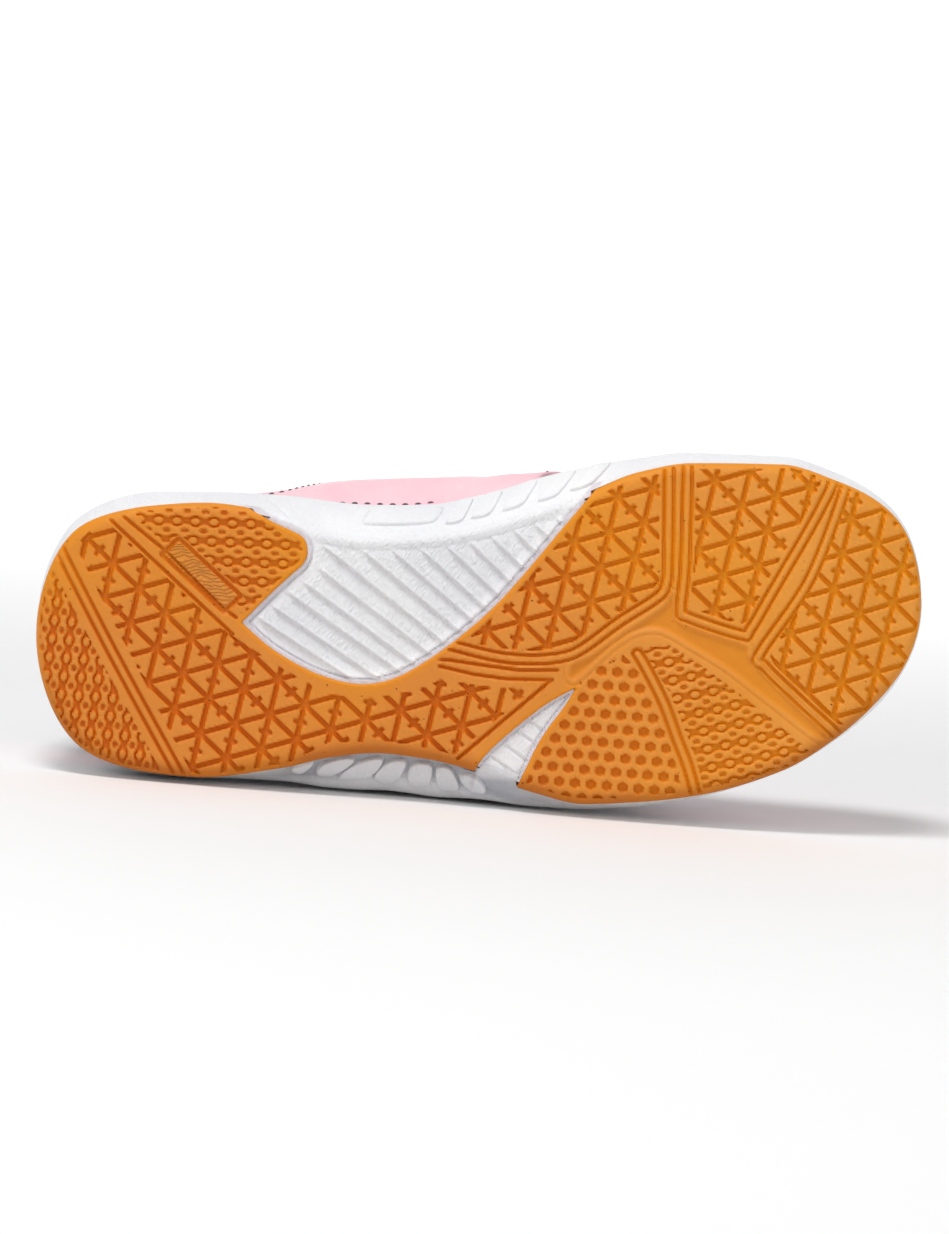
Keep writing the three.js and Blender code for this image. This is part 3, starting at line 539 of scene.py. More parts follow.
def ringDepth(points, pattern):
    # rows of buttons in a sunken chain, with small pits on the ribs between the rows
    turn = math.radians(pattern["turn"])
    way = np.array([math.cos(turn), math.sin(turn)])
    p = points - pattern["origin"]
    s = p @ way
    t = way[0] * p[:, 1] - way[1] * p[:, 0]
    pitch = tread["ringPitch"]
    row = np.round(t / pattern["row"])
    ds = s - row * pattern["shift"]
    ds = ds - pitch * np.round(ds / pitch)
    dt = t - row * pattern["row"]
    wave = 1.02 + 0.3 * np.cos(2 * np.pi * ds / pitch)
    channel = ramp(wave - np.abs(dt), -0.16, 0.2)
    button = ramp(1 - np.sqrt((ds / 1.1) ** 2 + (dt / 0.78) ** 2), -0.12, 0.2)
    half = np.floor(t / pattern["row"]) + 0.5
    es = s - half * pattern["shift"] - pitch / 2
    es = es - pitch * np.round(es / pitch)
    et = t - half * pattern["row"]
    pit = ramp(1 - np.sqrt((es / 0.88) ** 2 + (et / 0.58) ** 2), -0.2, 0.3)
    return tread["buttonDepth"] * channel * (1 - 0.92 * button) + tread["ribPitDepth"] * pit


def pitDepth(points):
    # rows of six-sided pits
    turn = math.radians(tread["pitTurn"])
    way = np.array([math.cos(turn), math.sin(turn)])
    p = points - tread["pitOrigin"]
    s = p @ way
    t = way[0] * p[:, 1] - way[1] * p[:, 0]
    row = np.round(t / tread["pitRow"])
    ds = s - (row % 2) * tread["pitPitch"] / 2
    ds = ds - tread["pitPitch"] * np.round(ds / tread["pitPitch"])
    dt = t - row * tread["pitRow"]
    size = np.maximum(np.abs(ds), np.abs(ds) * 0.5 + np.abs(dt) * 0.866)
    return tread["pitDepth"] * ramp(tread["pitSize"] - size, -0.14, 0.3)


def treadDepth(points, rim):
    # how far the tread is cut into the rubber; rim is how far inside the edge each point lies
    smooth = 1.2 - 0.8 * ramp(points[:, 0], 158, 172) - 0.5 * ramp(-points[:, 0], -70, -50)
    margin = ramp(rim - smooth, 0, 0.5)
    depth = np.zeros(len(points))
    soft = np.zeros(len(points))
    for name, outline in panels.items():
        low, high = np.min(outline, 0) - 2, np.max(outline, 0) + 2
        near = np.flatnonzero(((points > low) & (points < high)).all(1))
        spot = points[near]
        side = toShape(closedCurve(outline, 8) if name == "web" else np.array(outline, float), spot)
        if name == "web":
            line = 0.28 * np.exp(-(((side - 1.0) / 0.3) ** 2))
            web = tread["webDepth"] * ramp(-side, -0.3, 1.1) + line
            depth[near] = np.maximum(depth[near], web)
            soft[near] = np.maximum(soft[near], web)
            continue
        if name in latticeOrigins:
            cut = latticeDepth(spot, latticeOrigins[name])
        elif name in ringPatterns:
            cut = ringDepth(spot, ringPatterns[name])
        else:
            cut = pitDepth(spot)
        cut = cut * ramp(-side, -0.12, 0.16) * margin[near]
        depth[near] = np.maximum(depth[near], cut)
    plateSide = toShape(np.array(plate, float), points)
    depth = np.where(plateSide < 1.2, depth * ramp(plateSide, 0.7, 1.1), depth)
    frameCut = tread["plateFrameDepth"] * ramp(0.5 - np.abs(plateSide - 0.1), -0.15, 0.25)
    depth = np.maximum(depth, np.where(plateSide < 1.2, frameCut, 0))
    depth = np.where(plateSide < -0.3, np.maximum(depth, tread["plateDepth"]), depth)
    apart = tread["pairSpacing"] / 2
    grooves = [(spline(path, 40), apart, 0.2, 0.9) for path in pairPaths.values()]
    grooves += [(np.array(path, float), 0, 0.8, 1.8) for path in singlePaths]
    for path, spacing, low, high in grooves:
        off = np.abs(toPath(path, points)[0] - spacing)
        cut = tread["pairDepth"] * ramp(tread["pairWidth"] / 2 - off, -0.16, 0.26)
        depth = np.maximum(depth, cut * ramp(rim, low, high))
    return depth, soft


soleEdge = evenFootprint(soleRows, 0, sole["length"], 420)["edge"]


def makeOutsole(finish):
    box, windowGap = (-1.5, sole["length"] + 1.5, -42.5, 41.5), tread["windowGap"]
    grid, triangles = flatGrid(box, tread["cell"])
    edge, windows = toShape(soleEdge, grid), toWindow(grid)
    side = np.maximum(edge, windowGap - windows)
    data = np.column_stack([grid, edge, windows])
    data, triangles, side = cutSheet(data, triangles, side)
    points, edge, windows = data[:, :2], data[:, 2], data[:, 3]
    rim = np.minimum(-edge, windows - windowGap)
    depth, soft = treadDepth(points, rim)
    radius = sole["edgeRadius"]
    inward = np.clip(radius + edge, 0, radius)
    rounded = radius - np.sqrt(np.maximum(radius**2 - inward**2, 0))
    lip = tread["windowLip"]
    inward = np.clip(lip - (windows - windowGap), 0, lip)
    lipped = lip - np.sqrt(np.maximum(lip**2 - inward**2, 0))
    up = groundAt(points[:, 0]) + np.maximum(depth + 0.85 * rounded, lipped)
    top = groundAt(points[:, 0]) + sole["rubberThickness"]
    up = np.minimum(up, top - tread["leastRubber"])
    front = np.column_stack([points, up])
    # the wall round the edge, then a coarse back
    border = borderEdges(triangles)
    ring, index = np.unique(border, return_inverse=True)
    index = index.reshape(-1, 2)
    middle = np.column_stack([points[ring], (up[ring] + top[ring]) / 2])
    upper = np.column_stack([points[ring], top[ring]])
    n, m = len(front), len(ring)
    around = n + np.arange(m)
    walls = [wallTriangles(index, ring, around), wallTriangles(index, around, around + m)]
    grid, backTriangles = flatGrid(box, tread["backStep"] * tread["cell"])
    backSide = np.maximum(toShape(soleEdge, grid), windowGap - toWindow(grid))
    back, backTriangles, _ = cutSheet(grid, backTriangles, backSide)
    back = np.column_stack([back, groundAt(back[:, 0]) + sole["rubberThickness"]])
    allPoints = np.vstack([front, middle, upper, back])
    backStart = n + 2 * m
    faces = np.vstack([triangles[:, ::-1], *walls, backTriangles + backStart])
    toPlate = toShape(np.array(plate, float), points)
    # painted shade: the rubber is darkened near its edge on the outer side, which faces the floor
    # as the shoe lies
    lower = ramp(edge, -4.5, -0.3) * ramp(points[:, 1], 2, 26)
    marks = {"stand": allPoints / 1000}
    for key, values in {
        "hollow": depth - 0.6 * soft - 0.2 * (toPlate < -0.5),
        "edge": ramp(-rim, -1.8, 0),
        "web": soft / tread["webDepth"],
        "lower": lower,
        "plate": ramp(-toPlate, 0.3, 0.7),
    }.items():
        marks[key] = np.concatenate([values, np.zeros(len(allPoints) - n)])
    marks["edge"][n:backStart] = 1
    marks["lower"][n:backStart] = ramp(allPoints[n:backStart, 1], 2, 26)
    return addPiece("rubberSole", allPoints, faces, finish, "outsole", sharpEdge,
                    marks)


# midsole: white moulded foam
foam = {
    "around": 960,
    "across": 30,
    "padCell": 0.34,
    "seat": 3.5,  # tread face to the foam under the rubber
    "padRecess": 1.25,
    "padFrame": 0.95,  # width of the sunk frame round a window
    "wedgeFrame": 0.55,
    "padLip": 0.5,
    "ribHeight": 0.95,
    "ribWidth": 1.1,
    "ribLength": 46,
    "cutWidth": 0.84,
    "cutDepth": 0.5,
    "ledge": 0.8,
    "rimRound": 1.3,
    "lugHeight": 1.25,
    "softLugHeight": 0.7,
    "sideIn": 0.3,  # how far inside the tread's edge the side starts
    "corner": 1.4,
    "upperClearance": 2.05,  # from the last to the foam round it, so outside the upper's wall
    "underBed": 0.3,
}
ribEnds = [(49.1, -5.7), (52.5, -8.2), (56.1, -11.3), (59.8, -13.5), (63.2, -16.6), (63.7, -22.2),
           (71.3, -22.2), (78, -22.2), (84.8, -22.2), (91, -22.6), (96.6, -23.2), (101.6, -24.3),
           (106.4, -26), (111.4, -27.2), (116.2, -28.6)]
wedgeCuts = [((110.9, 18.4), (114.4, 21.2)), ((108.6, 21.0), (113.2, 24.7)),
             ((105.9, 24.3), (111, 28.3)), ((103, 27.1), (109.2, 31.9))]


def foamDepth(points):
    # tread face to the foam: a seat under the rubber and pads in the windows, with their ribs
    arch, wedge = toShape(archShape, points), toShape(wedgeShape, points)
    window = np.minimum(arch, wedge)
    frameIn = np.where(wedge < 0, foam["wedgeFrame"], foam["padFrame"])
    lip = 1 - ramp(-window, frameIn - 0.2, frameIn)
    seam = np.exp(-(((-window - frameIn - 0.12) / 0.16) ** 2))
    pad = foam["padRecess"] - foam["padLip"] * lip + 0.45 * seam
    ribs = np.zeros(len(points))
    for k, start in enumerate(ribEnds):
        angle = math.radians(33.5 + 1.1 * min(k, 10))
        way = np.array([math.cos(angle), math.sin(angle)])
        path = np.array([np.array(start) + 0.8 * way, np.array(start) + foam["ribLength"] * way])
        distance, along = toPath(path, points)
        off = (points - start) @ np.array([-way[1], way[0]])
        bead = ramp(foam["ribWidth"] / 2 + 0.1 - np.abs(off), -0.1, 0.45)
        slope = 0.45 * ramp(off, -3.8, -0.4) * (off < 0.2)
        end = ramp(along, 0.0, 2.2) * (distance < 4)
        ribs = np.maximum(ribs, np.maximum(bead, slope) * end)
    ribs = ribs * ramp(-toShape(soleEdge, points), 2.0, 4.6)
    pad = pad - foam["ribHeight"] * ribs * ramp(-arch, 0.5 * frameIn, frameIn + 0.5)
    cuts = np.full(len(points), 1e9)
    for a, b in wedgeCuts:
        distance, _ = toPath(np.array([a, b]), points)
        cuts = np.minimum(cuts, distance)
    return pad + foam["cutDepth"] * ramp(foam["cutWidth"] / 2 - cuts, -0.1, 0.3) * (wedge < 0)


def plainDepth(points):
    # the same without detail, for the foam round the pads
    sunk = 0.5 * ramp(-toShape(soleEdge, points), 2.6, 3.6)
    return np.where(toWindow(points) < 0, foam["padRecess"] + sunk, foam["seat"])


def sideBase(spot):
    # where the flared side starts: it comes down gently to the pads in the windows
    fall = ramp(-toWindow(spot), -8, 1.5)
    return groundAt(spot[:, 0]) + foam["seat"] - (foam["seat"] - foam["padRecess"]) * fall


def makePads():
    # the pads in the two windows: a fine sheet with walls and a plain back
    meshes = []
    for shape, box in ((archShape, (44, 126, -42, 12)), (wedgeShape, (94, 124, 8, 38))):
        for step, detailed in ((foam["padCell"], True), (4 * foam["padCell"], False)):
            grid, triangles = flatGrid(box, step)
            side = np.maximum(toShape(shape, grid) - 0.1, toShape(soleEdge, grid) + 1.3)
            points, triangles, _ = cutSheet(grid, triangles, side)
            back = groundAt(points[:, 0]) + foam["seat"] + 0.6
            if not detailed:
                meshes.append((np.column_stack([points, back]), triangles))
                continue
            sink = 0.08 * ramp(toShape(soleEdge, points), -3.6, -2.0)
            front = groundAt(points[:, 0]) + foamDepth(points) + sink
            ring, index = np.unique(borderEdges(triangles), return_inverse=True)
            walls = wallTriangles(index.reshape(-1, 2), ring, len(points) + np.arange(len(ring)))
            rim = np.column_stack([points, back])[ring]
            whole = np.vstack([np.column_stack([points, front]), rim])
            meshes.append((whole, np.vstack([triangles[:, ::-1], walls])))
    return meshes


# outlines of the outer side's lugs, in plan
lugOutlines = [
    [(57.6, 29.4), (59.6, 27.2), (62.4, 26.9), (62.2, 28.6), (59.6, 30.4)],
    [(63.4, 30.8), (64.6, 28.6), (68.6, 27.2), (71.6, 27.3), (70.8, 28.8), (67, 31)],
    [(68.3, 31.5), (72, 28.6), (76, 27.3), (78.2, 27.5), (77.4, 29.6), (74.6, 31.8), (71, 32.2)],
    [(76.2, 31.6), (78.6, 28.8), (81, 27.7), (83.4, 28.1), (82.8, 30.4),
     (80.8, 32.9), (77.6, 33.1)],
    [(83.8, 31.6), (84.6, 29.2), (86.8, 28.4), (89.2, 29.2), (88.8, 33.2),
     (86.4, 33.9), (84.2, 33.6)],
    [(90.2, 32.4), (90.4, 29.6), (92.4, 29.2), (94, 30.4), (95.4, 34.2), (93.6, 35), (91, 34.4)],
    [(95.6, 31.4), (97.2, 30.9), (99.6, 31.8), (101.4, 34.2), (100.4, 35),
     (98.2, 34.5), (96.2, 32.9)],
]
# the inner side's lugs: low heel corner, width and lean in mm, and the low edge's place on the side
innerLugs = {
    "x": [73.8, 92.2, 98.0, 105.0, 112.9, 120.2],
    "wide": [15.6, 4.0, 4.4, 4.8, 4.6, 5.2],
    "lean": [2.4, 2.6, 3.0, 3.6, 4.6, 4.6],
    "low": [0.43, 0.34, 0.35, 0.34, 0.29, 0.3],
}
softLug = np.array([(0, 0.16), (0.14, 0.03), (0.5, 0), (0.84, 0.03), (1, 0.18), (1, 0.82),
                    (0.86, 0.98), (0.5, 1), (0.14, 0.98), (0, 0.84)])
for x, wide, lean, low in zip(*innerLugs.values()):
    over = low + (0.95 - low) * softLug[:, 1]
    ahead = x + wide * softLug[:, 0] + lean * softLug[:, 1]
    inner = column(soleRows, "inner", ahead / sole["length"])
    inner = inner + column(soleRows, "innerFlare", ahead / sole["length"]) * over
    lugOutlines.append(np.column_stack([ahead, foam["sideIn"] - sole["ballWidth"] * inner]))
stepLine = [(50.6, -32.4), (54, -30), (57.2, -27.4), (60.7, -23.9), (62.8, -21)]


flareTable = {
    "height": [0, 0.08, 0.16, 0.215, 0.235, 0.255, 0.32, 0.38, 0.44, 0.6, 0.65, 0.93],
    "out": [0.06, 0.26, 0.46, 0.6, 0.64, 0.7, 0.86, 0.95, 0.985, 1, 1, 0.97],
}
softFlare = {
    "height": [0, 0.05, 0.1, 0.15, 0.2, 0.25, 0.3, 0.35, 0.4, 0.45, 0.5, 0.55, 0.6, 0.65, 0.93],
    "out": [0.06, 0.18, 0.3, 0.42, 0.53, 0.635, 0.725, 0.805, 0.87, 0.922, 0.96, 0.985, 1, 1, 0.97],
}


def flareAt(base, top, h):
    # height of the flared side: the low corner first, then evenly up to the rim
    low = base + 0.98 * (1 - ramp(np.asarray(h, float), 0.0, 0.25))
    return low + (top - low) * h


# a lug's rings: share of its outline, and share of its height
lugRings = [(0.0, -0.5), (1.09, -0.5), (1.08, -0.1), (1.03, 0.35), (1.0, 0.72), (0.96, 0.93),
            (0.88, 1.0), (0.7, 1.04), (0.45, 1.06), (0.2, 1.07), (0.0, 1.07)]


def makeLug(outline):
    # one lug: a flat cap with round corners and steep sides, standing on the flared side
    way = 1 if outline[0][1] > 0 else -1
    side, table, steps = ("outer", flareTable, 8) if way > 0 else ("inner", softFlare, 4)
    curve = closedCurve(outline, steps)[::way]
    centre = curve.mean(0)
    height = foam["lugHeight"] if way > 0 else foam["softLugHeight"]
    rings = []
    for share, rise in lugRings:
        spot = centre + (curve - centre) * share
        along = spot[:, 0] / sole["length"]
        flare = sole["ballWidth"] * column(soleRows, side + "Flare", along)
        edge = sole["ballWidth"] * column(soleRows, side, along) - foam["sideIn"]
        base, top = sideBase(np.column_stack([spot[:, 0], way * edge])), rimAt(spot[:, 0])
        out = (way * spot[:, 1] - edge) / flare
        h = np.interp(out, table["out"][:-3], table["height"][:-3])
        z = flareAt(base, top, h)
        ahead = flareAt(base, top, h + 0.02)
        run = flare * (np.interp(h + 0.02, table["height"], table["out"])
                       - np.interp(h, table["height"], table["out"]))
        normal = np.stack([0 * z, way * (ahead - z), -run], 1)
        normal /= np.linalg.norm(normal, axis=1)[:, None]
        rings.append(np.column_stack([spot, z]) + normal * height * rise)
    grid = np.stack(rings, 1)
    return merged(grid.reshape(-1, 3), gridTriangles(len(grid), grid.shape[1]))


def sliceReach(place, heights, offset):
    # how far the last reaches, from each place of the sole, at given heights
    sections = lastSections(360, 40, 12)
    loop = []
    for section in sections:
        want = heights(section[:, 0])
        k = int(np.argmax(section[:, 2] - want > 0)) or 1
        a, b = section[k - 1], section[k]
        t = np.clip((want[k] - a[2]) / max(b[2] - a[2], 1e-6), 0, 1)
        loop.append((a + (b - a) * t)[:2])
    loop = np.array(loop)
    following = np.roll(loop, -1, 0)
    c, w = place["centre"], place["way"]
    e = following - loop
    cross = w[:, None, 0] * e[None, :, 1] - w[:, None, 1] * e[None, :, 0]
    d = loop[None] - c[:, None]
    cross = np.where(np.abs(cross) < 1e-9, 1e-9, cross)
    reach = (d[..., 0] * e[None, :, 1] - d[..., 1] * e[None, :, 0]) / cross
    share = (d[..., 0] * w[:, None, 1] - d[..., 1] * w[:, None, 0]) / cross
    reach = np.where((share >= -1e-6) & (share <= 1 + 1e-6) & (reach > 0), reach, -1)
    return reach.max(1) + offset


def sliceHeight(x):
    # where the foam and the insole follow the last inside
    return footbedAt(x) + 1.5


def makeMidsole(finish):
    place = evenFootprint(soleRows, 0, sole["length"], foam["around"])
    full = place["reach"]
    start = full - foam["sideIn"]
    flare = sole["ballWidth"] * sideColumn(soleRows, "Flare", place)
    x = sole["length"] * place["share"]
    top = rimAt(x)

    def at(reach):
        return place["centre"] + place["way"] * reach[:, None]

    rings = []
    corner = foam["corner"]
    for s in [*np.linspace(0, 0.92, foam["across"]), None, 1]:
        reach = full - 2.65 if s is None else (start - corner) * s
        spot = at(reach)
        rings.append(np.column_stack([spot, groundAt(spot[:, 0]) + plainDepth(spot)]))
    spot = at(start)
    base = groundAt(spot[:, 0]) + plainDepth(spot)
    for angle in (30, 60):
        a = math.radians(angle)
        bend = at(start - corner * (1 - math.sin(a)))
        rings.append(np.column_stack([bend, base + 0.7 * corner * (1 - math.cos(a))]))
    base = sideBase(spot)
    heights = np.concatenate([np.linspace(0.01, 0.44, 28), np.linspace(0.47, 0.6, 4), [0.625, 0.65],
                              np.linspace(0.69, 0.93, 6)])
    for h in heights:
        out = np.where(place["outerSide"], np.interp(h, flareTable["height"], flareTable["out"]),
                       np.interp(h, softFlare["height"], softFlare["out"]))
        step = foam["ledge"] * float(ramp(np.array(h), 0.6, 0.65))
        z = flareAt(base, top, h)
        reach = start + flare * out - step
        spot = at(reach)
        toStep, _ = toPath(spline(stepLine, 20), spot)
        outerSide = place["outerSide"]
        proud = -0.3 * ramp(0.5 - toStep, 0, 0.5) * ~outerSide * (h < 0.6)
        fold = np.exp(-(((out - 0.64) / 0.035) ** 2)) * ramp(flare, 3, 5)
        proud = proud - 0.35 * fold * outerSide
        rings.append(np.column_stack([at(reach + proud), z]))
    rimReach = start + flare * 0.97 - foam["ledge"]
    for angle in (30, 60, 90):
        a = math.radians(angle)
        z = top - foam["rimRound"] * (1 - math.sin(a)) * 0.9
        rings.append(np.column_stack([at(rimReach - foam["rimRound"] * (1 - math.cos(a))), z]))
    wall = sliceReach(place, rimAt, foam["upperClearance"])
    wall = np.minimum(wall, rimReach - foam["rimRound"] - 0.2)
    rings.append(np.column_stack([at(wall), top]))
    low = sliceReach(place, sliceHeight, foam["upperClearance"])
    spot = at(np.minimum(low, wall))
    rings.append(np.column_stack([spot, footbedAt(spot[:, 0]) - foam["underBed"]]))
    spot = at(0 * full)
    rings.append(np.column_stack([spot, footbedAt(spot[:, 0]) - foam["underBed"]]))
    points = np.stack(rings, 1).reshape(-1, 3)
    points, triangles = merged(points, gridTriangles(len(full), len(rings)))
    triangles = triangles[:, ::-1]
    # shade: painted shade on the outer side's flare, which faces the floor as the shoe lies; the
    # outer lugs get a lighter painted tone, and the pads painted shade towards the outer side
    shade = (points[:, 1] > 0) * ramp(points[:, 0], 46, 62) * ramp(-points[:, 0], -124, -104)
    shade = shade * ramp(0.36 * rimAt(points[:, 0]) - points[:, 2], -1.2, 1.2) * (points[:, 1] > 24)
    inWedge = toShape(wedgeShape, points[:, :2]) < 0
    shade = shade * (1 - 0.6 * inWedge * ramp(-points[:, 1], -33, -31))
    parts = [(*makeLug(outline), 0.4 * (outline[0][1] > 0)) for outline in lugOutlines]
    for part, partFaces, tone in parts + [(*pad, 0.0) for pad in makePads()]:
        triangles = np.vstack([triangles, partFaces + len(points)])
        points = np.vstack([points, part])
        far = 0.6 * ramp(part[:, 1], 28, 34) * (tone == 0)
        shade = np.concatenate([shade, np.maximum(tone, far)])
    plan = points[:, :2]
    arch, wedge = toShape(archShape, plan), toShape(wedgeShape, plan)
    window = np.minimum(arch, wedge)
    under = (points[:, 2] < groundAt(points[:, 0]) + 4).astype(float)
    frameIn = np.where(wedge < 0, foam["wedgeFrame"], foam["padFrame"])
    # frame: a grey-lilac band in the sunk frame round each window, painted shade in the recess
    marks = {"frame": ramp(window, -frameIn - 0.3, -frameIn) * ramp(-window, -0.6, 0) * under,
             "shade": shade,
             "arch": ramp(-np.maximum(arch, toShape(soleEdge, plan) - 2), 1.5, 4) * under,
             "stand": points / 1000}
    return addPiece("foamMidsole", points, triangles, finish, "midsole", softEdge,
                    marks)


# the last's skin, which every piece of the upper follows
def lastSections(around, sideSteps, tuckSteps):
    place = evenFootprint(lastRows, last["heelInset"], lastLength, around)
    width, high = sole["ballWidth"], last["instepHeight"]
    ridge = high * column(lastRows, "ridge", place["middleShare"])
    wide = high * column(lastRows, "wide", place["share"])
    bed = last["footbedHeight"] * column(lastRows, "bed", place["share"])
    boxy = column(lastRows, "boxy", place["share"])
    tuck = width * sideColumn(lastRows, "Tuck", place)
    foot = place["reach"] - tuck
    rings = []

    def ring(reach, z):
        rings.append(np.column_stack([place["centre"] + place["way"] * reach[:, None], z]))

    ring(foot, bed - last["footbedHeight"] / 2)
    for s in np.linspace(0, 1, tuckSteps, endpoint=False):
        ring(foot + tuck * (1 - math.cos(math.pi * s)) / 2, bed + (wide - bed) * s)
    for angle in np.linspace(0, math.pi / 2, sideSteps + 1):
        power = 2 / boxy
        reach = place["reach"] * max(math.cos(angle), 0) ** power
        if angle > math.pi / 2 - 1e-6:
            reach = reach * 0
        ring(reach, wide + (ridge - wide) * math.sin(angle) ** power)
    return np.stack(rings, 1)


upperSizes = {
    "around": 640,
    "sideSteps": 46,
    "tuckSteps": 14,
    "wall": 1.9,
    "overlayStart": 2.2,
    "overlayThickness": 1.2,
    "strapStart": 3.7,
    "strapThickness": 1.8,
    "strapWidth": 17,
    "strapTilt": 25,
    "tongueThickness": 3.6,
    "tongueWidth": 40,
    "liningThickness": 4.6,
    "liningDepth": 16,
    "liningEnd": 0.43,  # share of the sole's length
    "liningGap": 0.6,
    "throatHalf": 13.5,
    "throatBack": 72,
    "throatFront": 132,
    "edgeRound": 0.5,
}
instep = last["instepHeight"]
soleLength = sole["length"]

# soft creases pressed into the upper: from the side (x, z) or from above (x, y)
creases = [
    {"seen": "inner", "path": [(121, 26), (127, 33), (131, 42)], "width": 2.2, "depth": 0.75},
    {"seen": "inner", "path": [(130, 25), (137, 31), (142, 39)], "width": 2.0, "depth": 0.6},
    {"seen": "inner", "path": [(96, 27), (101, 34), (108, 39)], "width": 2.6, "depth": 0.25},
    {"seen": "outer", "path": [(118, 26), (126, 32), (131, 41)], "width": 2.2, "depth": 0.7},
    {"seen": "outer", "path": [(128, 25), (136, 30), (141, 38)], "width": 2.0, "depth": 0.55},
    {"seen": "inner", "path": [(14, 36), (26, 41), (40, 41)], "width": 2.4, "depth": 0.45},
    {"seen": "outer", "path": [(12, 39), (24, 44), (38, 43)], "width": 2.4, "depth": 0.5},
    {"seen": "inner", "path": [(52, 40), (60, 47), (66, 55)], "width": 2.4, "depth": 0.4},
    {"seen": "outer", "path": [(52, 41), (61, 47), (66, 56)], "width": 2.4, "depth": 0.4},
    {"seen": "top", "path": [(146, -24), (149, -8), (147, 9)], "width": 2.4, "depth": 0.55},
    {"seen": "top", "path": [(154, -28), (158, -14), (157, 4)], "width": 2.2, "depth": 0.35},
]


def pressed(points, normals):
    # moves the skin of the last in where it is creased, and out a little beside that
    moved = np.zeros(len(points))
    for crease in creases:
        if crease["seen"] == "top":
            flat = points[:, :2]
            here = points[:, 2] > 30
        else:
            flat = points[:, [0, 2]]
            here = (points[:, 1] > 0) == (crease["seen"] == "outer")
        distance, along = toPath(spline(crease["path"], 12), flat)
        end = along.max()
        fade = ramp(along, 0, 0.25 * end) * ramp(-along, -end, -0.7 * end)
        width = crease["width"]
        swell = 0.45 * np.exp(-(((distance - 2.1 * width) / width) ** 2))
        dip = np.exp(-((distance / width) ** 2)) - swell
        moved -= crease["depth"] * dip * np.maximum(fade, 0.12 * (distance < 1)) * here
    moved *= ramp(points[:, 2] - rimAt(points[:, 0]), 1, 5)
    return points + normals * moved[:, None]


lastGrid = lastSections(upperSizes["around"], upperSizes["sideSteps"], upperSizes["tuckSteps"])
lastPoints, lastTriangles = merged(
    lastGrid.reshape(-1, 3), gridTriangles(len(lastGrid), lastGrid.shape[1]))
lastNormals = vertexNormals(lastPoints, lastTriangles)
if (lastNormals * (lastPoints - lastPoints.mean(0))).sum(1).mean() < 0:
    lastTriangles = lastTriangles[:, ::-1]
    lastNormals = -lastNormals
lastPoints = pressed(lastPoints, lastNormals)
lastNormals = vertexNormals(lastPoints, lastTriangles)

heelBack, ankle = last["heelBackHeight"], last["ankleHeight"]
collarLine = spline([(-0.06, heelBack), (0.06, heelBack), (0.16, 54.4), (0.26, ankle),
                     (0.34, 54.48), (0.4, 66), (0.45, 85.2)], 60)
collarShape = np.vstack([collarLine, [(0.46, 2 * instep), (-0.06, 2 * instep)]]) * (soleLength, 1)


def throatShape():
    half, back = upperSizes["throatHalf"], upperSizes["throatBack"]
    turns = np.linspace(-np.pi / 2, np.pi / 2, 17)
    front = 0.66 * half * np.column_stack([np.cos(turns), np.sin(turns)])
    return np.vstack([[(back, half), (back, -half)], front + (upperSizes["throatFront"], 0)])


throatOutline = throatShape()


def fromSide(shape, points):
    return toShape(np.array(shape, float), points[:, [0, 2]])


def collarMask(points, drop=0):
    return -fromSide(collarShape - (0, drop), points)


def throatMask(points):
    return np.where(points[:, 2] > 24, -toShape(throatOutline, points[:, :2]), -50)


def toeCapShape():
    curve = spline([(0.66, 0), (0.675, 0.31), (0.71, 0.37), (0.76, 0.42), (0.79, 0.5),
                    (0.8, 0.7)], 50)
    return np.vstack([curve, [(1.1, 0.7), (1.1, 0)]]) * (soleLength, instep)


def counterShape():
    curve = spline([(0.2, 0.3), (0.17, 0.42), (0.12, 0.51), (0.06, 0.56), (-0.06, 0.57)], 44)
    return np.vstack([[(-0.06, 0), (0.2, 0)], curve]) * (soleLength, instep)


def quarterShape():
    rear = spline([(0.228, 0), (0.233, 0.33), (0.278, 0.44), (0.34, 0.75)], 30)
    front = spline([(0.685, 0.58), (0.65, 0.5), (0.589, 0.4), (0.556, 0.2), (0.545, 0)], 40)
    return np.vstack([rear, [(0.4, 1.4), (0.685, 1)], front]) * (soleLength, instep)


def strapMask(points, ridge, end):
    # a band across the throat, leaning back, with a rounded end
    lean = math.radians(upperSizes["strapTilt"])
    dx, dz = points[:, 0] - ridge[0] * soleLength, points[:, 2] - ridge[1] * instep
    u = dx * math.cos(lean) - dz * math.sin(lean)
    v = dx * math.sin(lean) + dz * math.cos(lean)
    half = upperSizes["strapWidth"] / 2
    corner = half / 2
    low = (end * instep - ridge[1] * instep) / math.cos(lean)
    qx, qy = np.abs(u) - (half - corner), low + corner - v
    outside = np.hypot(np.maximum(qx, 0), np.maximum(qy, 0))
    return outside + np.minimum(np.maximum(qx, qy), 0) - corner


tongueSizes = {
    "tip": (74.0, 91.84),  # x and z of its free end
    "slope": 52,  # degrees
    "corner": 6.0,
    "front": 144,
    "back": 200,
    "low": 17,
}


def tongueMask(points, clearance=0):
    half = upperSizes["tongueWidth"] / 2 + clearance
    slope, corner = math.radians(tongueSizes["slope"]), tongueSizes["corner"]
    way = np.array([-math.cos(slope), math.sin(slope)])
    past = (points[:, [0, 2]] - tongueSizes["tip"]) @ way - clearance
    side = np.abs(points[:, 1]) - half
    front = points[:, 0] - tongueSizes["front"] - clearance
    back = points[:, 0] - tongueSizes["back"]
    qx, qy = side + corner, past + corner
    outside = np.hypot(np.maximum(qx, 0), np.maximum(qy, 0))
    rounded = outside + np.minimum(np.maximum(qx, qy), 0) - corner
    low = np.where(points[:, 0] < 100, tongueSizes["low"] - points[:, 2], -50)
    return np.max([rounded, front, back, low], 0)


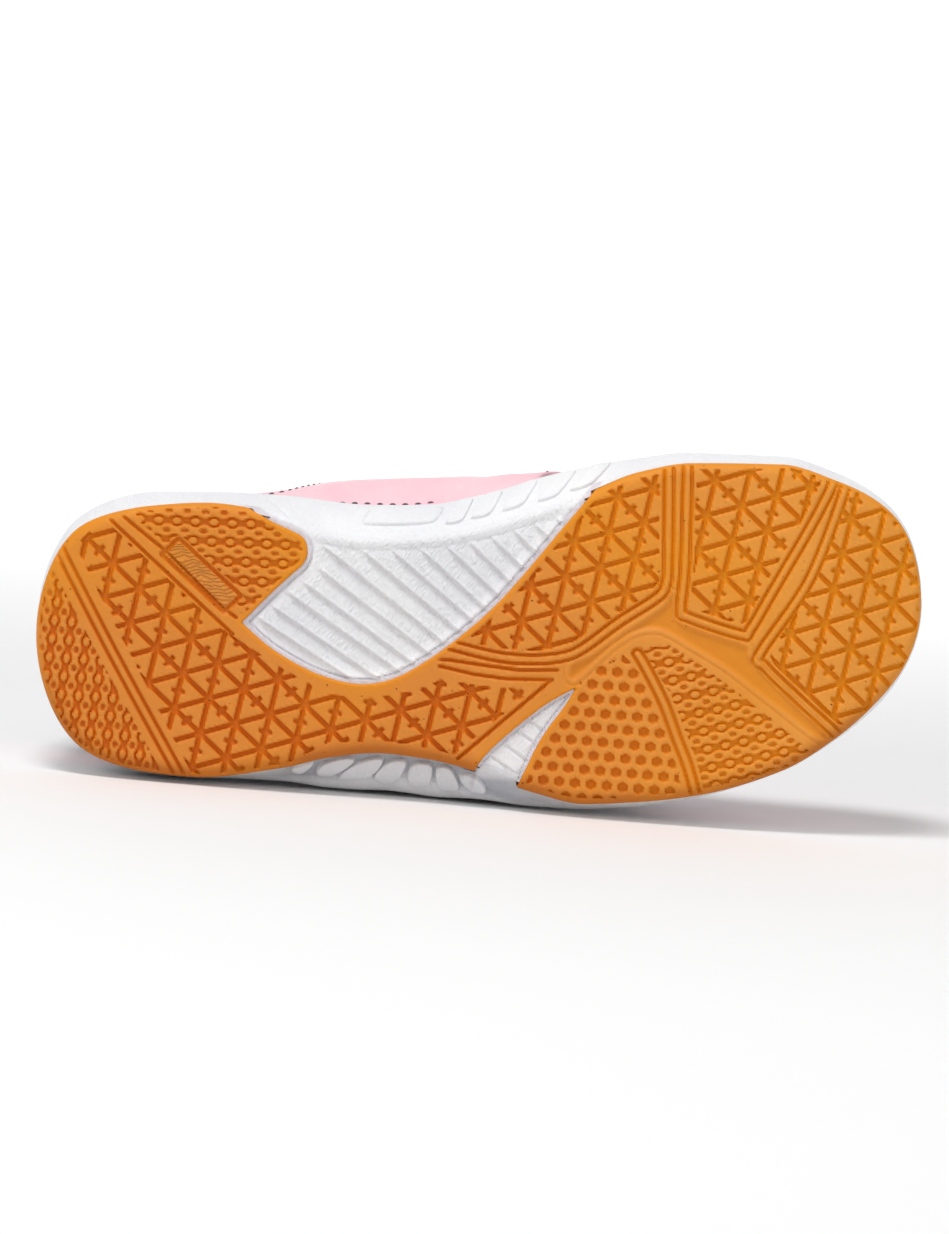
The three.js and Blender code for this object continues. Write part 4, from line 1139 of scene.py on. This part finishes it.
def makeLayer(name, masks, start, thickness, finish, node, shape=None, levels=(), at=None):
    # a piece that follows the last: a sheet cut by its masks, given a thickness and round edges
    middle = start + thickness / 2 if at is None else at
    data = np.column_stack([lastPoints, lastNormals])
    triangles = lastTriangles

    def where(rows):
        return rows[:, :3] + rows[:, 3:6] * middle

    for mask in masks:
        data, triangles, _ = cutSheet(data, triangles, mask(where(data)))
    near = np.max([mask(where(data)) for mask in masks], 0)
    for level in levels:
        data, triangles, _ = cutSheet(data, triangles, near + level, both=True)
        near = np.max([mask(where(data)) for mask in masks], 0)
    points, normals = data[:, :3], data[:, 3:6]
    normals = normals / np.linalg.norm(normals, axis=1)[:, None]
    inward = np.maximum(-near, 0)
    if shape:
        low, top = shape(inward, where(data))
    else:
        r = min(upperSizes["edgeRound"], thickness / 2)
        bend = r - np.sqrt(np.maximum(r**2 - np.maximum(r - inward, 0) ** 2, 0))
        low, top = start + 0 * inward, start + thickness - bend
    inside = points + normals * low[:, None]
    outside = points + normals * top[:, None]
    border = borderEdges(triangles)
    n = len(points)
    a, b = border.T
    walls = np.concatenate([np.stack([b, a, a + n], 1), np.stack([b, a + n, b + n], 1)])
    allPoints = np.vstack([outside, inside])
    faces = np.vstack([triangles, triangles[:, ::-1] + n, walls])
    attributes = {"edge": np.tile(ramp(-inward, -2.2, 0), 2), "stand": allPoints / 1000}
    piece = addPiece(name, allPoints, faces, finish, node, sharpEdge, attributes)
    return piece, (data, triangles, near, outside, normals)


sewing = {"pitch": 2.8, "length": 1.55, "thickness": 0.56, "raised": 0.2}


def makeStitches(name, rows, finish):
    # short stitches, each a small bead of thread bent over its row
    pitch, length, thick = sewing["pitch"], sewing["length"], sewing["thickness"] / 2
    rings, sides = 5, 6
    points, faces = [], []
    for sheet, normals, triangles, values, level, sewn in rows:
        for chain in isoLines(np.column_stack([sheet, normals]), triangles, values, level):
            p = chain[:, :3]
            run = np.concatenate([[0], np.cumsum(np.linalg.norm(np.diff(p, axis=0), axis=1))])
            count = int(run[-1] // pitch)
            for k in range(count):
                mid = (k + 0.5) * run[-1] / count
                s = mid + np.linspace(-0.5, 0.5, rings) * length
                spot = np.column_stack([np.interp(s, run, p[:, c]) for c in range(3)])
                if not sewn(spot[rings // 2][None])[0]:
                    continue
                up = np.array([np.interp(mid, run, chain[:, 3 + c]) for c in range(3)])
                way = spot[-1] - spot[0]
                way = way / max(np.linalg.norm(way), 1e-9)
                across = np.cross(up, way)
                across = across / max(np.linalg.norm(across), 1e-9)
                up = np.cross(way, across)
                first = len(points)
                for t, centre in zip(np.linspace(-1, 1, rings), spot):
                    rise = sewing["raised"] * (1 - t * t) - 0.1
                    size = thick * math.sqrt(max(1 - (0.93 * t) ** 2, 0.02))
                    for side in range(sides):
                        turn = 2 * math.pi * side / sides
                        points.append(centre + up * (rise + size * 0.85 * math.sin(turn))
                                      + across * size * math.cos(turn))
                for ring in range(rings - 1):
                    for side in range(sides):
                        a = first + ring * sides + side
                        b = first + ring * sides + (side + 1) % sides
                        faces += [(a, b, b + sides), (a, b + sides, a + sides)]
                last = first + (rings - 1) * sides
                for side in range(1, sides - 1):
                    faces.append((first + side + 1, first + side, first))
                    faces.append((last, last + side, last + side + 1))
    points = np.array(points)
    return addPiece(name, points, np.array(faces), finish, None, roundEdge,
                    {"stand": points / 1000})


# finishes
def newFinish(name):
    finish = bpy.data.materials.new(name)
    finish.use_nodes = True
    tree = finish.node_tree
    return finish, tree, tree.nodes["Principled BSDF"]


def addNode(tree, kind, links=None, **settings):
    made = tree.nodes.new("ShaderNode" + kind)
    for key, value in settings.items():
        setattr(made, key, value)
    for socket, value in (links or {}).items():
        put(tree, made.inputs[socket], value)
    return made


def put(tree, socket, value):
    if isinstance(value, bpy.types.NodeSocket):
        tree.links.new(value, socket)
    elif isinstance(value, bpy.types.Node):
        tree.links.new(value.outputs[0], socket)
    else:
        socket.default_value = value


def srgb(red, green, blue):
    def straight(value):
        value /= 255
        return value / 12.92 if value <= 0.04045 else ((value + 0.055) / 1.055) ** 2.4

    return (straight(red), straight(green), straight(blue), 1)


def mark(tree, name, vector=False):
    found = addNode(tree, "Attribute", attribute_name=name)
    return found.outputs["Vector"] if vector else found.outputs["Fac"]


def noise(tree, scale, detail=3, rough=0.55, at=None, stretch=None):
    where = at or mark(tree, "stand", True)
    if stretch:
        where = addNode(tree, "Mapping", {"Vector": where, "Scale": stretch}).outputs[0]
    return addNode(tree, "TexNoise", {"Vector": where, "Scale": scale, "Detail": detail,
                                      "Roughness": rough}).outputs["Fac"]


def between(tree, value, low, high, to=(0, 1)):
    return addNode(tree, "MapRange", {"Value": value, "From Min": low, "From Max": high,
                                      "To Min": to[0], "To Max": to[1]}).outputs[0]


def mixed(tree, share, first, second, blend="MIX"):
    made = addNode(tree, "Mix", data_type="RGBA", blend_type=blend)
    put(tree, made.inputs[0], share)
    put(tree, made.inputs[6], first)
    put(tree, made.inputs[7], second)
    return made.outputs[2]


def maths(tree, operation, first, second=0.0):
    made = addNode(tree, "Math", operation=operation)
    put(tree, made.inputs[0], first)
    put(tree, made.inputs[1], second)
    return made.outputs[0]


def patches(tree, scale, detail, low, high, to=(0, 1)):
    return between(tree, noise(tree, scale, detail), low, high, to)


def tinted(tree, colour, layers):
    # other colours over a colour: where each lies, how strong it is, and its red, green and blue
    for amount, strength, tint in layers:
        colour = mixed(tree, maths(tree, "MULTIPLY", amount, strength), colour, srgb(*tint))
    return colour


def bumps(tree, layers):
    # bumps on one another: the height, its distance in metres, and its strength
    normal = None
    for height, distance, strength in layers:
        made = addNode(tree, "Bump", {"Height": height, "Distance": distance, "Strength": strength})
        if normal:
            put(tree, made.inputs["Normal"], normal)
        normal = made.outputs[0]
    return normal


def dress(tree, shader, settings):
    for socket, value in settings.items():
        put(tree, shader.inputs[socket], value)


def rubberFinish():
    finish, tree, shader = newFinish("gumRubber")
    stand = mark(tree, "stand", True)
    fromHeel = addNode(tree, "SeparateXYZ", {"Vector": stand}).outputs[0]
    toToe = between(tree, fromHeel, 0.09, 0.21)
    # the tops are a paler, bluer tan than the grooves' deep orange; the tops' paler tone is painted
    # sheen
    top = mixed(tree, toToe, srgb(216, 135, 54), srgb(234, 158, 64))
    groove = mixed(tree, toToe, srgb(204, 98, 0), srgb(230, 144, 0))
    colour = mixed(tree, between(tree, mark(tree, "hollow"), 0.05, 0.62), top, groove)
    colour = tinted(tree, colour, [
        (mark(tree, "web"), 0.55, (222, 138, 30)),
        (patches(tree, 45, 4, 0.35, 0.7), 0.22, (198, 112, 22)),
        (mark(tree, "edge"), 0.6, (228, 140, 6)),
        # painted shade along the outer side's edge
        (mark(tree, "lower"), 0.62, (158, 76, 6)),
        (patches(tree, 22, 2, 0.5, 0.72), 0.5, (230, 146, 10)),  # amber clouds
        (patches(tree, 900, 1, 0.765, 0.79), 1, (120, 60, 22)),  # specks
    ])
    waves = {"Vector": stand, "Scale": 390.0, "Distortion": 11.0, "Detail": 1.5,
             "Detail Scale": 0.8}
    wrinkle = addNode(tree, "TexWave", waves, bands_direction="Y").outputs["Fac"]
    dress(tree, shader, {
        "Base Color": colour,
        "Roughness": patches(tree, 260, 4, 0.3, 0.75, (0.42, 0.62)),
        "Subsurface Weight": 0.12,
        "Subsurface Radius": (1.0, 0.45, 0.12),
        "Subsurface Scale": 0.0016,
        "Specular IOR Level": 0.2,
        "Normal": bumps(tree, [
            (noise(tree, 2100, 3, 0.6), 0.00011, 1.0),
            (noise(tree, 330, 4), 0.00012, 0.8),
            (maths(tree, "MULTIPLY", wrinkle, mark(tree, "plate")), 0.00035, 1.0),
        ]),
    })
    return finish


def foamFinish():
    finish, tree, shader = newFinish("whiteFoam")
    stand = mark(tree, "stand", True)
    cloud = patches(tree, 30, 4, 0.35, 0.72)
    scuff = between(tree, noise(tree, 700, 5, 0.7, stretch=(1, 1, 4)), 0.64, 0.72)
    colour = mixed(tree, cloud, srgb(251, 251, 252), srgb(240, 240, 244))
    colour = tinted(tree, colour, [
        # painted shade in the sunk frames round the windows
        (mark(tree, "frame"), 0.5, (200, 188, 198)),
        # painted shade on the outer side's flare
        (mark(tree, "shade"), 0.95, (176, 179, 186)),
        (scuff, 0.16, (196, 192, 200)),
    ])
    pebble = addNode(tree, "TexVoronoi", {"Vector": stand, "Scale": 1150.0}).outputs["Distance"]
    turned = addNode(tree, "Mapping", {"Vector": stand, "Rotation": (0, 0, math.radians(-40))})
    hatch = noise(tree, 1000, 3, 0.6, turned.outputs[0], (2.6, 0.5, 0.5))
    dress(tree, shader, {
        "Base Color": colour,
        "Roughness": patches(tree, 300, 3, 0.3, 0.7, (0.5, 0.68)),
        "Subsurface Weight": 0.08,
        "Subsurface Radius": (1.0, 0.9, 0.85),
        "Subsurface Scale": 0.001,
        "Normal": bumps(tree, [
            (pebble, 0.00014, 0.85),
            (noise(tree, 1100, 5, 0.75, stretch=(1, 0.45, 1)), 0.00052, 1.0),
            (maths(tree, "MULTIPLY", hatch, mark(tree, "arch")), 0.0006, 1.0),
            (noise(tree, 160, 3), 0.00015, 0.7),
        ]),
    })
    return finish


def leatherFinish():
    finish, tree, shader = newFinish("pinkLeather")
    cloud = patches(tree, 55, 4, 0.35, 0.7)
    scuff = between(tree, noise(tree, 420, 6, 0.75, stretch=(1, 1, 3)), 0.66, 0.74)
    colour = mixed(tree, cloud, srgb(250, 206, 213), srgb(241, 192, 202))
    colour = tinted(tree, colour, [
        (mark(tree, "edge"), 0.25, (232, 178, 190)),
        (scuff, 0.2, (206, 158, 170)),
    ])
    cells = addNode(tree, "TexVoronoi", {"Vector": mark(tree, "stand", True), "Scale": 950.0},
                    feature="DISTANCE_TO_EDGE").outputs["Distance"]
    dress(tree, shader, {
        "Base Color": colour,
        "Roughness": patches(tree, 500, 4, 0.3, 0.7, (0.42, 0.6)),
        "Specular IOR Level": 0.45,
        "Normal": bumps(tree, [
            (between(tree, cells, 0.0, 0.28), 0.00009, 0.7),
            (noise(tree, 210, 4), 0.00018, 0.6),
        ]),
    })
    return finish


def clothFinish(name, light, dark, pitch, deep, sheen):
    # a knitted cloth: rows of small loops over a darker ground, pitch and depth in metres
    finish, tree, shader = newFinish(name)
    x, y, z = addNode(tree, "SeparateXYZ", {"Vector": mark(tree, "stand", True)}).outputs
    turn = 2 * math.pi / pitch
    up = maths(tree, "ADD", z, maths(tree, "MULTIPLY", y, 0.7))
    along = maths(tree, "SINE", maths(tree, "MULTIPLY", x, turn))
    upright = maths(tree, "SINE", maths(tree, "MULTIPLY", up, turn))
    weave = between(tree, maths(tree, "MULTIPLY", along, upright), -1, 1)
    fuzz = noise(tree, 2200, 4, 0.7)
    dress(tree, shader, {
        "Base Color": tinted(tree, mixed(tree, weave, srgb(*dark), srgb(*light)), [
            (patches(tree, 40, 4, 0.35, 0.7), 0.3, dark),
            (between(tree, fuzz, 0.4, 0.8), 0.28, (150, 128, 145)),
        ]),
        "Roughness": between(tree, fuzz, 0.3, 0.7, (0.82, 0.97)),
        "Sheen Weight": sheen,
        "Sheen Roughness": 0.5,
        "Specular IOR Level": 0.2,
        "Normal": bumps(tree, [(weave, deep, 1.0), (fuzz, 0.00006, 0.7)]),
    })
    return finish


def threadFinish():
    finish, tree, shader = newFinish("plumThread")
    waves = {"Vector": mark(tree, "stand", True), "Scale": 900.0, "Distortion": 2.0}
    twist = addNode(tree, "TexWave", waves).outputs["Fac"]
    dress(tree, shader, {
        "Base Color": mixed(tree, twist, srgb(92, 70, 86), srgb(124, 98, 116)),
        "Roughness": patches(tree, 1500, 2, 0.3, 0.7, (0.55, 0.8)),
        "Normal": bumps(tree, [(twist, 0.00005, 1.0)]),
    })
    return finish


rubber, foamStuff, leather = rubberFinish(), foamFinish(), leatherFinish()
meshCloth = clothFinish("plumMesh", (112, 90, 106), (66, 48, 62), 0.0013, 0.0002, 0.25)
brushed = clothFinish("plumLining", (104, 84, 98), (80, 62, 76), 0.0007, 0.00008, 0.5)
insoleCloth = clothFinish("insoleCloth", (118, 98, 112), (88, 70, 84), 0.0009, 0.0001, 0.3)
thread = threadFinish()

makeOutsole(rubber)
makeMidsole(foamStuff)


def footbedMask(points):
    return footbedAt(points[:, 0]) + 0.1 - points[:, 2]


def rimMask(points):
    return rimAt(points[:, 0]) + 0.35 - points[:, 2]


makeLayer("upperShell", [footbedMask, collarMask, throatMask], 0, upperSizes["wall"], meshCloth,
          "upper", levels=(0.25, 0.8))


def overlayMasks(shape, side=0):
    masks = [lambda p: fromSide(shape, p), rimMask, collarMask, throatMask]
    if side:
        masks.append(lambda p: -side * p[:, 1])
    return masks


start, thick = upperSizes["overlayStart"], upperSizes["overlayThickness"]
rows = []
for name, node, masks in (
    ("toeCap", "toe_cap", overlayMasks(toeCapShape())),
    ("heelCounter", "heel_counter", overlayMasks(counterShape())),
    ("quarterInner", "quarter_medial", overlayMasks(quarterShape(), -1)),
    ("quarterOuter", "quarter_lateral", overlayMasks(quarterShape(), 1)),
):
    _, sheet = makeLayer(name, masks, start, thick, leather, node,
                         levels=(0.2, 0.5, 1.6, 2.6))
    data, triangles, near, outside, normals = sheet
    aboveRim = -rimMask(outside)
    bare = 9.5 * (name == "quarterInner")
    rows.append((outside, normals, triangles, near, -1.9,
                 lambda p, bare=bare: -rimMask(p) > 2.3 + bare * ramp(p[:, 0], 96, 108)))
    if name == "quarterInner":
        x = outside[:, 0]
        sewn = aboveRim - 3.0 + 1.3 * ramp(x, 50, 68) + 0.9 * ramp(x, 66, 86)
        rows.append((outside, normals, triangles, sewn, 0,
                     lambda p: (p[:, 0] > 51) & (p[:, 0] < 91)))
strapPlaces = {
    "strapFront": {"node": "strap_front", "ridge": (0.57, 0.73), "inner": 0.6, "outer": 0.4},
    "strapTop": {"node": "strap_top", "ridge": (0.48, 0.87), "inner": 0.66, "outer": 0.45},
}
for name, place in strapPlaces.items():
    def bandMask(p, place=place):
        inner = strapMask(p, place["ridge"], place["inner"])
        outer = strapMask(p, place["ridge"], place["outer"])
        return np.where(p[:, 1] < 0, inner, outer)

    _, sheet = makeLayer(name, [bandMask], upperSizes["strapStart"], upperSizes["strapThickness"],
                         leather, place["node"], levels=(0.2, 0.5, 1.6, 2.4))
    data, triangles, near, outside, normals = sheet
    rows.append((outside, normals, triangles, near, -1.8, lambda p: p[:, 2] > 0))
makeStitches("stitches", rows, thread)


def tongueForm(inward, _):
    # full in the middle, thin at its sewn edge, with a sewn line beside it
    thickness = upperSizes["tongueThickness"]
    puff = np.sqrt(np.clip(1 - (1 - np.clip(inward / 4, 0, 1)) ** 2, 0, 1))
    seam = 0.7 * np.exp(-(((inward - 6.5) / 0.8) ** 2))
    full = 0.35 + 0.65 * puff
    outer = -0.3 - (1 - full) * thickness * 0.45 - seam
    return outer - thickness * full + seam * 0.6, outer


tongue, _ = makeLayer(
    "tonguePad", [tongueMask, rimMask], -3.9, upperSizes["tongueThickness"], meshCloth, "tongue",
    tongueForm, (0.15, 0.5, 1.1, 2.0, 3.2, 6.0, 7.0), at=-2.1)


def liningForm(inward, points):
    # a padded roll: round at the collar's edge, thin where it ends inside
    thickness = upperSizes["liningThickness"]
    puff = np.sqrt(np.clip(1 - (1 - np.clip(inward / 3.4, 0, 1)) ** 2, 0, 1))
    x, z = points[:, 0], points[:, 2]
    wrinkle = 0.25 * np.sin(x * 0.8 + 2.3 * np.sin(z * 0.21)) * ramp(inward, 0.5, 4) * (x > 8)
    return -0.3 - thickness * (0.12 + 0.88 * puff) + wrinkle, -0.3 - 0.25 * (1 - puff)


liningMasks = [
    collarMask,
    lambda p: -collarMask(p, upperSizes["liningDepth"]),
    lambda p: p[:, 0] - upperSizes["liningEnd"] * soleLength,
    lambda p: -tongueMask(p, upperSizes["liningGap"]),
]
lining, _ = makeLayer(
    "collarLining", liningMasks, -4.9, upperSizes["liningThickness"], brushed, "collar_lining",
    liningForm, (0.1, 0.4, 0.9, 1.6, 2.4, 3.4), at=-2.6)


insoleSizes = {"clearance": -0.55, "dish": 0.9, "dishAt": 28, "dishLength": 20, "dishWidth": 16}


def makeInsole(finish):
    # a footbed that dips under the heel and rises a little at its edge
    place = evenFootprint(lastRows, last["heelInset"], lastLength, 420)
    outline = sliceReach(place, sliceHeight, insoleSizes["clearance"])
    rings = []

    def ring(share, up, drop=0.0):
        spot = place["centre"] + place["way"] * (outline * share - drop)[:, None]
        ahead = (spot[:, 0] - insoleSizes["dishAt"]) / insoleSizes["dishLength"]
        aside = spot[:, 1] / insoleSizes["dishWidth"]
        dish = insoleSizes["dish"] * np.exp(-(ahead**2 + aside**2))
        rings.append(np.column_stack([spot, footbedAt(spot[:, 0]) + up - dish * (up > 1)]))

    ring(0.0, 0.15)
    ring(1.0, 0.15, 0.5)
    ring(1.0, 0.6)
    ring(1.0, 2.7)
    ring(1.0, 3.35, 0.35)
    for share in np.linspace(1, 0, 28):
        up = 3.5 - 0.35 * float(ramp(1 - share, 0.02, 0.25))
        ring(share, up, 1.0 if share == 1 else 0)
    grid = np.stack(rings, 1)
    points, triangles = merged(grid.reshape(-1, 3), gridTriangles(len(grid), grid.shape[1]))
    marks = {"stand": points / 1000}
    return addPiece("insolePad", points, triangles, finish, "insole", softEdge,
                    marks)


insole = makeInsole(insoleCloth)


# floor, lights and camera
room = {"front": -2.2, "deep": 5.2, "bendAt": 1.2, "steep": 0.6, "half": 3.2, "ambient": 0.42}


def makeFloor():
    # a pale sweep: flat under the shoe and rising far behind it
    rows, columns = 24, 16
    points = []
    for t in np.linspace(0, 1, rows):
        y = room["front"] + room["deep"] * t
        z = room["steep"] * max(y - room["bendAt"], 0) ** 2
        points += [(x, y, z) for x in np.linspace(-room["half"], room["half"], columns)]
    finish, tree, shader = newFinish("paleFloor")
    cloud = noise(tree, 3, 3, at=addNode(tree, "TexCoord").outputs["Object"])
    dress(tree, shader, {
        "Base Color": mixed(tree, cloud, (0.86, 0.86, 0.86, 1), (0.89, 0.89, 0.89, 1)),
        "Roughness": 0.9,
    })
    floorMesh = bpy.data.meshes.new("paleFloor")
    corners = [a * columns + b for a in range(rows - 1) for b in range(columns - 1)]
    faces = [(k, k + 1, k + columns + 1, k + columns) for k in corners]
    floorMesh.from_pydata(points, [], faces)
    floorMesh.shade_smooth()
    floorMesh.materials.append(finish)
    floor = bpy.data.objects.new("paleFloor", floorMesh)
    bpy.context.scene.collection.objects.link(floor)


# soft lights: places and sizes in metres, power in watts
lamps = {
    "softFront": {"place": (-0.6, -1.5, 0.9), "size": (1.2, 1.0), "power": 5},
    "softTop": {"place": (-0.25, -0.5, 1.3), "size": (0.5, 0.4), "power": 11},
    "softRight": {"place": (1.4, -0.9, 0.5), "size": (0.8, 0.8), "power": 2.5},
    "backdrop": {"place": (0, 0.9, 1.4), "size": (2.4, 0.6), "power": 42, "aim": (0, 2.6, 0.5)},
}


def addLight(name, place, size, power, aim=(0, 0, 0.02)):
    light = bpy.data.lights.new(name, "AREA")
    light.shape = "RECTANGLE"
    light.size, light.size_y = size
    light.energy = power
    lamp = bpy.data.objects.new(name, light)
    bpy.context.scene.collection.objects.link(lamp)
    lamp.location = place
    lamp.rotation_euler = (Vector(aim) - Vector(place)).to_track_quat("-Z", "Y").to_euler()


view = {
    "aim": (98.98, -4.74, 0.0),  # the middle of the photograph, in the standing shoe's mm
    "rise": 5.0,  # degrees above level
    "distance": 1.6,
    "height": 0.2772,  # metres across the long side of the picture at the aim
}


def addCamera():
    aim = Vector(lay(np.array([view["aim"]]))[0])
    rise = math.radians(view["rise"])
    back = Vector((0, -math.cos(rise), math.sin(rise)))
    right = Vector((math.cos(lift), 0, math.sin(lift)))
    right = (right - back * right.dot(back)).normalized()
    up = back.cross(right)
    data = bpy.data.cameras.new("photoCamera")
    data.sensor_width = 36
    data.lens = 36 * view["distance"] / view["height"]
    camera = bpy.data.objects.new("photoCamera", data)
    bpy.context.scene.collection.objects.link(camera)
    turn = Matrix((right, up, back)).transposed().to_4x4()
    camera.matrix_world = Matrix.Translation(aim + back * view["distance"]) @ turn
    data.clip_start, data.clip_end = 0.05, 50
    bpy.context.scene.camera = camera


makeFloor()
for name, settings in lamps.items():
    addLight(name, **settings)
world = bpy.data.worlds.new("paleRoom")
world.use_nodes = True
world.node_tree.nodes["Background"].inputs[0].default_value = (1, 1, 1, 1)
world.node_tree.nodes["Background"].inputs[1].default_value = room["ambient"]
bpy.context.scene.world = world
bpy.context.scene.view_settings.view_transform = "Standard"
addCamera()
print("stage set")
